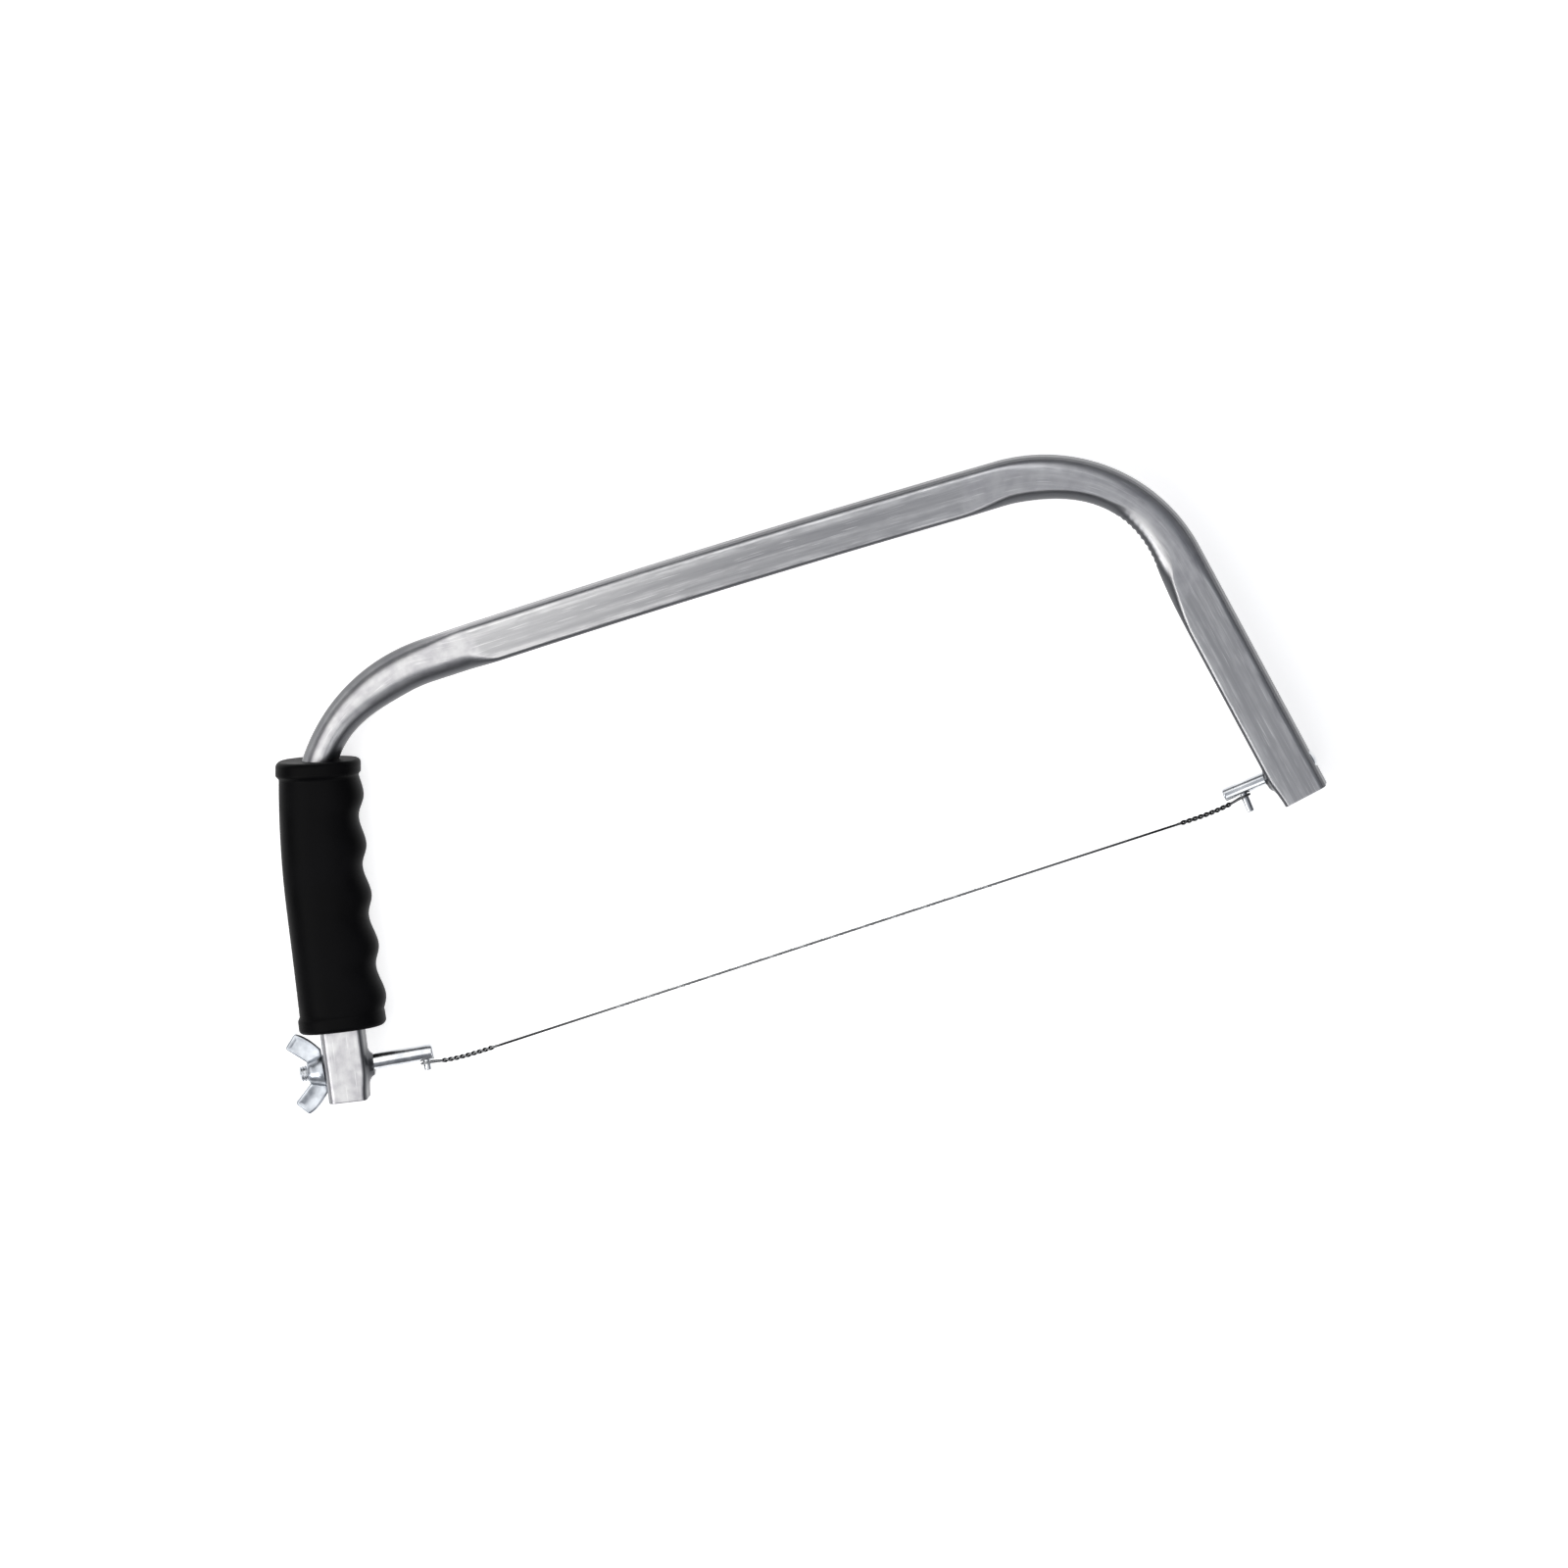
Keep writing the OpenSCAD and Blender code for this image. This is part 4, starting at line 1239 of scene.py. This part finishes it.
@dataclass
class WingNut:
    """A cast wing nut: a round hub with a bore, and two wings with a raised rim."""

    bow: Bow
    hub_d: float = 14.6
    hub_top_d: float = 11.6
    hub_h: float = 8.0
    hub_foot: float = 1.2
    foot_soft: float = 0.15
    hub_round: float = 0.9
    taper_from: float = 1.8
    taper_clear: float = 1.0
    taper_steps: int = 8
    span: float = 39.0
    wing_w: float = 8.8
    wing_t: float = 2.2
    lean: float = 42.0
    rise: float = 11.0
    bevel: float = 0.5
    corner: float = 1.3
    bore_r: float = 3.95
    seat: float = 0.05
    bow_out: float = 0.8
    wing_edge: float = 0.95
    rim: float = 1.0
    sink: float = 0.22
    least_flat: float = 20.0
    crease: float = 55.0

    def hub(self, rod: Rod) -> Obj:
        """Make the hub with its bore.

        Args:
            rod: The nut's own frame.

        Returns:
            The hub.
        """
        base, top, low = self.hub_d / 2, self.hub_top_d / 2, self.hub_foot
        bevel, bore, high, soft = self.bevel, self.bore_r, self.hub_h, self.foot_soft
        profile = [(0.0, base - bevel), (soft, base - soft), (bevel, base), (low, base)]
        profile += [(x, base + (top - base) * ease((x - low) / (high - low))) for x in np.linspace(
            self.taper_from, high - self.taper_clear, self.taper_steps)]
        profile += round_edge(high, top, self.hub_round)
        profile += [(high, bore + bevel), (high - bevel, bore), (bevel, bore), (0.0, bore + bevel)]
        return rod.turned("nut_hub", [(-x, r) for x, r in profile], Ends.JOINED, 72)

    def outline(self) -> list[Array]:
        """Give a wing's outline.

        Returns:
            Points (away from the leg, out from the axis).
        """
        way, side = along(self.lean), across(self.lean)
        wide = np.array((self.rise, self.span / 2))
        tall = wide - self.wing_w * side
        root = self.bore_r + self.bevel

        def rounded(corner: Array, start: Array, stop: Array) -> list[Array]:
            """Return a corner rounded from one side's direction to the next."""
            return [corner - self.corner * (start + stop)
                    + self.corner * (start * math.cos(a) + stop * math.sin(a))
                    for a in np.linspace(0, QUARTER, 7)]

        foot = wide - (self.rise - self.bevel) / way[0] * way
        # The side towards the leg bows out a little, as on a cast nut
        bowed = [foot + (wide - foot) * q + self.bow_out * math.sin(math.pi * q) * side
                 for q in (0.2, 0.35, 0.5, 0.65, 0.8)]
        return [np.array((self.bevel, root)), foot, *bowed,
                *rounded(wide, side, way), *rounded(tall, way, -side),
                tall - (tall[1] - root) / way[1] * way]

    def wing(self, rod: Rod, flip: float) -> Obj:
        """Make one wing as a plate with a raised rim and rounded edges.

        Args:
            rod: The nut's own frame.
            flip: 1 for the wing on the y side of the axis, and -1 for the other.

        Returns:
            The wing.
        """
        work = bmesh.new()
        corners = [work.verts.new((-p[0] * MM, flip * p[1] * MM, -self.wing_t / 2 * MM))
                   for p in self.outline()]
        bottom = work.faces.new(corners)
        grown = bmesh.ops.extrude_face_region(work, geom=[bottom])
        lifted = [e for e in grown["geom"] if isinstance(e, bmesh.types.BMVert)]
        bmesh.ops.translate(work, verts=lifted, vec=(0, 0, self.wing_t * MM))
        bmesh.ops.recalc_face_normals(work, faces=work.faces)
        rims = [e for f in work.faces if abs(f.normal.z) > 0.9 for e in f.edges]
        bmesh.ops.bevel(work, geom=rims, offset=self.wing_edge * MM, segments=5,
                        affect="EDGES", profile=0.5)
        flats = [f for f in work.faces
                 if abs(f.normal.z) > 0.99 and f.calc_area() > self.least_flat * MM * MM]
        for wide, deep in ((0.3 * self.rim, 0.0), (self.rim, -self.sink)):
            bmesh.ops.inset_region(work, faces=flats, thickness=wide * MM, depth=deep * MM)
        mesh = bpy.data.meshes.new("wing")
        work.to_mesh(mesh)
        work.free()
        local = np.array([v.co for v in mesh.vertices]) / MM
        mesh.vertices.foreach_set("co", rod.points(local).astype(np.float32).ravel())
        mesh.uv_layers.new(name="UVMap")
        finish_mesh(mesh, self.crease)
        return put("wing", mesh)

    def build(self) -> Obj:
        """Make the nut in its place on the rod.

        Returns:
            The nut.
        """
        tilt = math.radians(self.bow.hook_tilt)
        base = self.bow.leg_w / 2 / math.cos(tilt) + self.hub_d / 2 * math.sin(tilt) + self.seat
        heading = self.bow.hook.heading
        rod = Rod(self.bow.hook.at - base * along(heading), heading)
        nut = join([self.hub(rod), self.wing(rod, 1.0), self.wing(rod, -1.0)])
        nut.name = "cast_wing_nut"
        return nut


# A point of the strand, with how far a tooth stands out there and its place round the wire, which
# is PLAIN where there are no teeth
Row = tuple[Array, float, float]
PLAIN = -1.0


@dataclass
class SawWire:
    """One strand of wire: a twisted eye at each end, and chiselled teeth along its middle."""

    bow: Bow
    twist_len: float = 32.0
    twist_turns: float = 4.5
    twist_steps: int = 22
    eye_steps: int = 25
    teeth_from: float = 92.0
    teeth_clear: float = 118.0
    tooth_pitch: float = 2.5
    tooth_h: float = 0.35
    nick_h: float = 0.25
    tooth_turn: float = 60.0
    # Places along a tooth's pitch, and how far it stands out there or is cut in
    tooth: tuple[Pair, ...] = ((0.0, 0.0), (0.2, 0.35), (0.38, 0.8), (0.5, 1.0),
                               (0.56, 0.1), (0.62, -1.0), (0.8, -0.3))
    peg_d: float = 3.6
    eye_fit: float = 0.22
    strand_gap: float = 0.14
    eye_len: float = 7.0
    tail_len: float = 1.6
    tail_rise: float = 0.9
    settle_len: float = 4.0
    near_sag: float = 3.0
    far_sag: float = 3.1
    # The painted highlight on the twists' crests: how bright at the near and the far end, and from
    # where it rises and over how much, in wire thicknesses
    near_highlight: float = 0.5
    far_highlight: float = 0.15
    highlight_from: float = 0.8
    highlight_fade: float = 0.3
    chiselled: float = 0.25
    sides: int = 12

    def line_y(self, x: float) -> float:
        """Give how far the wire lies from the line through its eyes.

        Args:
            x: Place along that line.

        Returns:
            The distance, which is negative below the line.
        """
        span, twist = self.bow.wire_span, self.twist_len

        def droop(d: float) -> float:
            """Return from 0 to 1 how far the twist has bent down at a distance from its eye."""
            return 1 - (1 - min(1.0, max(0.0, d) / twist)) ** 3

        if x < twist:
            return -self.near_sag * droop(x)
        if x > span - twist:
            return -self.far_sag * droop(span - x)
        return -self.near_sag + (self.near_sag - self.far_sag) * (x - twist) / (span - 2 * twist)

    def end_route(self) -> Array:
        """Give one end of the strand.

        Returns:
            Points from its tail, through the twist and the eye, to the plain wire.
        """
        d = self.bow.wire_d
        eye_r = self.peg_d / 2 + self.eye_fit + d / 2
        ply_r = (d + self.strand_gap) / 2
        opening = math.asin((eye_r - ply_r) / self.eye_len)
        steps = round(self.twist_turns * self.twist_steps)

        def strand(i: int, start: float) -> Triple:
            """Return a point of one strand of the twist."""
            phase = math.radians(start + 360 * self.twist_turns * i / steps)
            return (self.eye_len + (self.twist_len - self.eye_len) * i / steps,
                    ply_r * math.cos(phase), ply_r * math.sin(phase))

        tail_phase = math.radians(90 + 360 * self.twist_turns)
        tail_r = ply_r + self.tail_rise
        points = [(self.twist_len + self.tail_len,
                   tail_r * math.cos(tail_phase), tail_r * math.sin(tail_phase))]
        points += [strand(i, 90) for i in range(steps, -1, -1)]
        points += [(eye_r * math.cos(a), 0.0, eye_r * math.sin(a))
                   for a in np.linspace(QUARTER - opening, 3 * QUARTER + opening, self.eye_steps)]
        points += [strand(i, 270) for i in range(steps + 1)]
        points += [(self.twist_len + self.settle_len, 0.0, 0.0)]
        return np.array(points)

    def rows(self) -> list[Row]:
        """Give the whole strand.

        Returns:
            Its rows from the near tail to the far one.
        """
        span, end = self.bow.wire_span, self.end_route()
        near, far = (
            [(np.array((x, self.line_y(x) + y, z)), 0.0, PLAIN) for x, y, z in points]
            for points in (end, end[::-1] * (-1.0, 1.0, 1.0) + (span, 0.0, 0.0)))
        teeth = []
        for k in range(math.floor((span - self.teeth_from - self.teeth_clear) / self.tooth_pitch)):
            for share, bump in self.tooth:
                x = self.teeth_from + (k + share) * self.tooth_pitch
                size = bump * (self.tooth_h if bump > 0 else self.nick_h)
                teeth.append((np.array((x, self.line_y(x), 0.0)), size, self.tooth_turn * (k % 6)))
        return near + teeth + far

    def crest_highlight(self, x: float, ring: Array) -> Array:
        """Give the painted highlight on the outer crests of a twist.

        Args:
            x: Place along the wire: the near end gets a brighter highlight than the far one.
            ring: Points round the strand.

        Returns:
            A shade from 0 to 1 at each point.
        """
        share = self.near_highlight if x < self.bow.wire_span / 2 else self.far_highlight
        away = np.hypot(ring[:, 1] - self.line_y(x), ring[:, 2])
        d = self.bow.wire_d
        return share * np.clip((away - self.highlight_from * d) / (self.highlight_fade * d), 0.0, 1.0)

    def build(self) -> Obj:
        """Make the wire.

        Returns:
            The wire.
        """
        rows = self.rows()
        line = np.array([row[0] for row in rows])
        ahead = np.gradient(line, axis=0)
        ahead /= np.linalg.norm(ahead, axis=1)[:, None]
        turn = circle(self.sides)
        normal = np.array((0.0, 0.0, 1.0))
        rings, cuts_and_highlights = [], []
        for run, (point, size, place) in zip(ahead, rows):
            normal = normal - (normal @ run) * run
            normal /= np.linalg.norm(normal)
            side = np.cross(run, normal)
            near_tooth = np.maximum(0.0, np.cos(turn - math.radians(place))) ** 6
            r = self.bow.wire_d / 2 + size * near_tooth
            rings.append(point + (r * np.cos(turn))[:, None] * normal
                         + (r * np.sin(turn))[:, None] * side)
            # On the twists the bright shade is a painted highlight on the crests; on the teeth it
            # is cut metal
            cut_and_highlight = self.chiselled + near_tooth * min(1.0, abs(size) / self.nick_h)
            cuts_and_highlights.append(self.crest_highlight(point[0], rings[-1]) if place == PLAIN else cut_and_highlight)
        runs = np.concatenate(((0.0,), np.cumsum(np.linalg.norm(np.diff(line, axis=0), axis=1))))
        return loft("chiselled_saw_wire", placed(np.array(rings)), runs * MM, Ends.CAPPED,
                    {"cut_and_highlight": np.clip(np.array(cuts_and_highlights), 0.0, 1.0)})

    def settle(self, piece: Obj, finish: Finish) -> None:
        """Dress the wire, fix its place in its mesh and hide the imported wire.

        Args:
            piece: The finished wire.
            finish: Its finish.
        """
        finish.dress(piece)
        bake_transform(piece)
        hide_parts("saw_wire")
        log.info("%s stands for saw_wire: %d faces", piece.name, len(piece.data.polygons))


@dataclass(frozen=True)
class SoftBox:
    """A soft box, placed in metres, where a radiance of 1 is the brightness of white."""

    name: str
    at: Triple
    aim: Triple
    size: Pair
    radiance: float
    colour: Triple = (1.0, 1.0, 1.0)

    def hang(self) -> None:
        """Hang the box in the scene."""
        data = bpy.data.lights.new(self.name, "AREA")
        data.shape = "RECTANGLE"
        data.size, data.size_y = self.size
        data.color = self.colour
        data.energy = self.radiance * math.pi * self.size[0] * self.size[1]
        box = put(self.name, data)
        box.location = self.at
        box.rotation_euler = (
            Vector(self.at) - Vector(self.aim)).to_track_quat("Z", "Y").to_euler()
        box.visible_camera = False


@dataclass(frozen=True)
class Studio:
    """Camera at the photograph's viewing angle, a pale floor and soft lights."""

    side_angle: float = 6.0
    rise_angle: float = 5.0
    roll: float = -18.645
    distance_m: float = 5.5556
    pixels_per_mm: float = 2.2073
    picture: int = 1600
    middle_at: Pair = (761.15, 772.82)
    sensor_mm: float = 36.0
    clip_m: Pair = (0.1, 80.0)
    floor_half_m: float = 15.0
    wall: Colour = (0.18, 0.185, 0.2, 1.0)
    ceiling: Colour = (0.235, 0.247, 0.28, 1.0)
    ceiling_from: Spread = Spread(0.5, 0.95)
    boxes: tuple[SoftBox, ...] = (
        SoftBox("key_box", (-0.485, 0.3, 0.6), (-0.485, 0.3, 0.0), (0.8, 1.04), 1.4,
                (1.0, 0.985, 0.95)),
        SoftBox("fill_box", (0.17, -0.07, 0.62), (0.17, -0.07, 0.0), (0.32, 0.6), 0.4),
        SoftBox("rim_box", (0.12, 0.42, 0.6), (0.12, 0.36, 0.0), (0.4, 0.32), 1.3),
        SoftBox("rod_box", (0.13, -0.66, 0.6), (0.13, -0.1, 0.0), (0.3, 0.6), 1.7),
        SoftBox("side_box", (-1.2, -0.45, 1.1), (0.1, 0.0, 0.0), (0.6, 0.6), 4.5),
    )

    def camera(self) -> None:
        """Place the camera and make it the scene's own."""
        away = Vector((math.tan(math.radians(self.side_angle)),
                       math.tan(math.radians(self.rise_angle)), 1.0)).normalized()
        level = Vector((0, 1, 0)).cross(away).normalized()
        rise = away.cross(level)
        roll = math.radians(self.roll)
        right = math.cos(roll) * level + math.sin(roll) * rise
        up = -math.sin(roll) * level + math.cos(roll) * rise
        half = self.picture / 2
        off_right, off_up = ((half - at) / self.pixels_per_mm * MM for at in self.middle_at)
        aim = Vector((0, 0, MIDDLE_HEIGHT * MM)) + off_right * right - off_up * up
        data = bpy.data.cameras.new("camera")
        data.sensor_fit = "HORIZONTAL"
        data.sensor_width = self.sensor_mm
        data.lens = self.pixels_per_mm * self.distance_m / MM / self.picture * self.sensor_mm
        data.clip_start, data.clip_end = self.clip_m
        view = put("camera", data)
        spot = aim + self.distance_m * away
        turn = Matrix((right, up, away)).transposed().to_4x4()
        view.matrix_world = Matrix.Translation(spot) @ turn
        bpy.context.scene.camera = view
        log.info("camera %.0f mm at %s", data.lens, tuple(round(c, 3) for c in spot))

    def floor(self) -> None:
        """Lay the white floor under the saw."""
        h = self.floor_half_m
        mesh = bpy.data.meshes.new("floor")
        mesh.from_pydata([(-h, -h, 0), (h, -h, 0), (h, h, 0), (-h, h, 0)], [], [(0, 1, 2, 3)])
        floor = put("floor", mesh)
        PaleFloor().dress(floor)

    def surround(self) -> None:
        """Give the room a grey wall and a paler ceiling."""
        world = bpy.data.worlds.new("room")
        bpy.context.scene.world = world
        world.use_nodes = True
        nodes = Nodes(world.node_tree)
        where = nodes.add("TexCoord").outputs["Generated"]
        height = nodes.add("SeparateXYZ", {0: where}).outputs["Z"]
        colour = nodes.blend(nodes.spread(height, self.ceiling_from), self.wall, self.ceiling)
        glow = nodes.add("Background", {"Strength": 1.0, "Color": colour})
        nodes.add("OutputWorld", {"Surface": glow.outputs[0]})

    def build(self) -> None:
        """Set up the camera, the floor, the room and the lamps."""
        self.camera()
        self.floor()
        self.surround()
        for box in self.boxes:
            box.hang()
        bpy.context.scene.view_settings.view_transform = "Standard"


def main() -> None:
    """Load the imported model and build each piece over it."""
    logging.basicConfig(level=logging.INFO, format="%(message)s")
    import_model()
    Studio().build()
    bow = Bow()
    aluminium, rubber, zinc = MillAluminium(), BlackRubber(), ZincPlate()
    blue_zinc = ZincPlate(name="blue_zinc_plate", slot="zinc_nut", bright="#d0d5db",
                          dull="#a8adb4", patch_mm=5.0, roughness=Spread(0.3, 0.7, 0.27, 0.38))
    anchor_peg = Peg(bow.anchor, bow.anchor_reach, bow.anchor_d, out=8.8)
    tension_peg = Peg(bow.hook, bow.hook_reach, bow.shank_d, out=4.6)
    jobs: tuple[tuple[Callable[[], Obj], Body, str, Finish], ...] = (
        (bow.build, Body.BOW, "bow_frame", aluminium),
        (Grip(bow).build, Body.BOW, "grip", rubber),
        (AnchorRod(bow).build, Body.BOW, "anchor_rod", zinc),
        (lambda: anchor_peg.build("anchor_cross_peg"), Body.BOW, "anchor_peg", zinc),
        (TensionRod(bow).build, Body.HOOK, "tension_rod", zinc),
        (lambda: tension_peg.build("tension_cross_peg"), Body.HOOK, "tension_peg", zinc),
        (WingNut(bow).build, Body.NUT, "wing_nut", blue_zinc),
    )
    for build, body, node, finish in jobs:
        settle(build(), body, node, finish)
    wire = SawWire(bow)
    wire.settle(wire.build(), DrawnSteelWire())


if __name__ == "__main__":
    main()
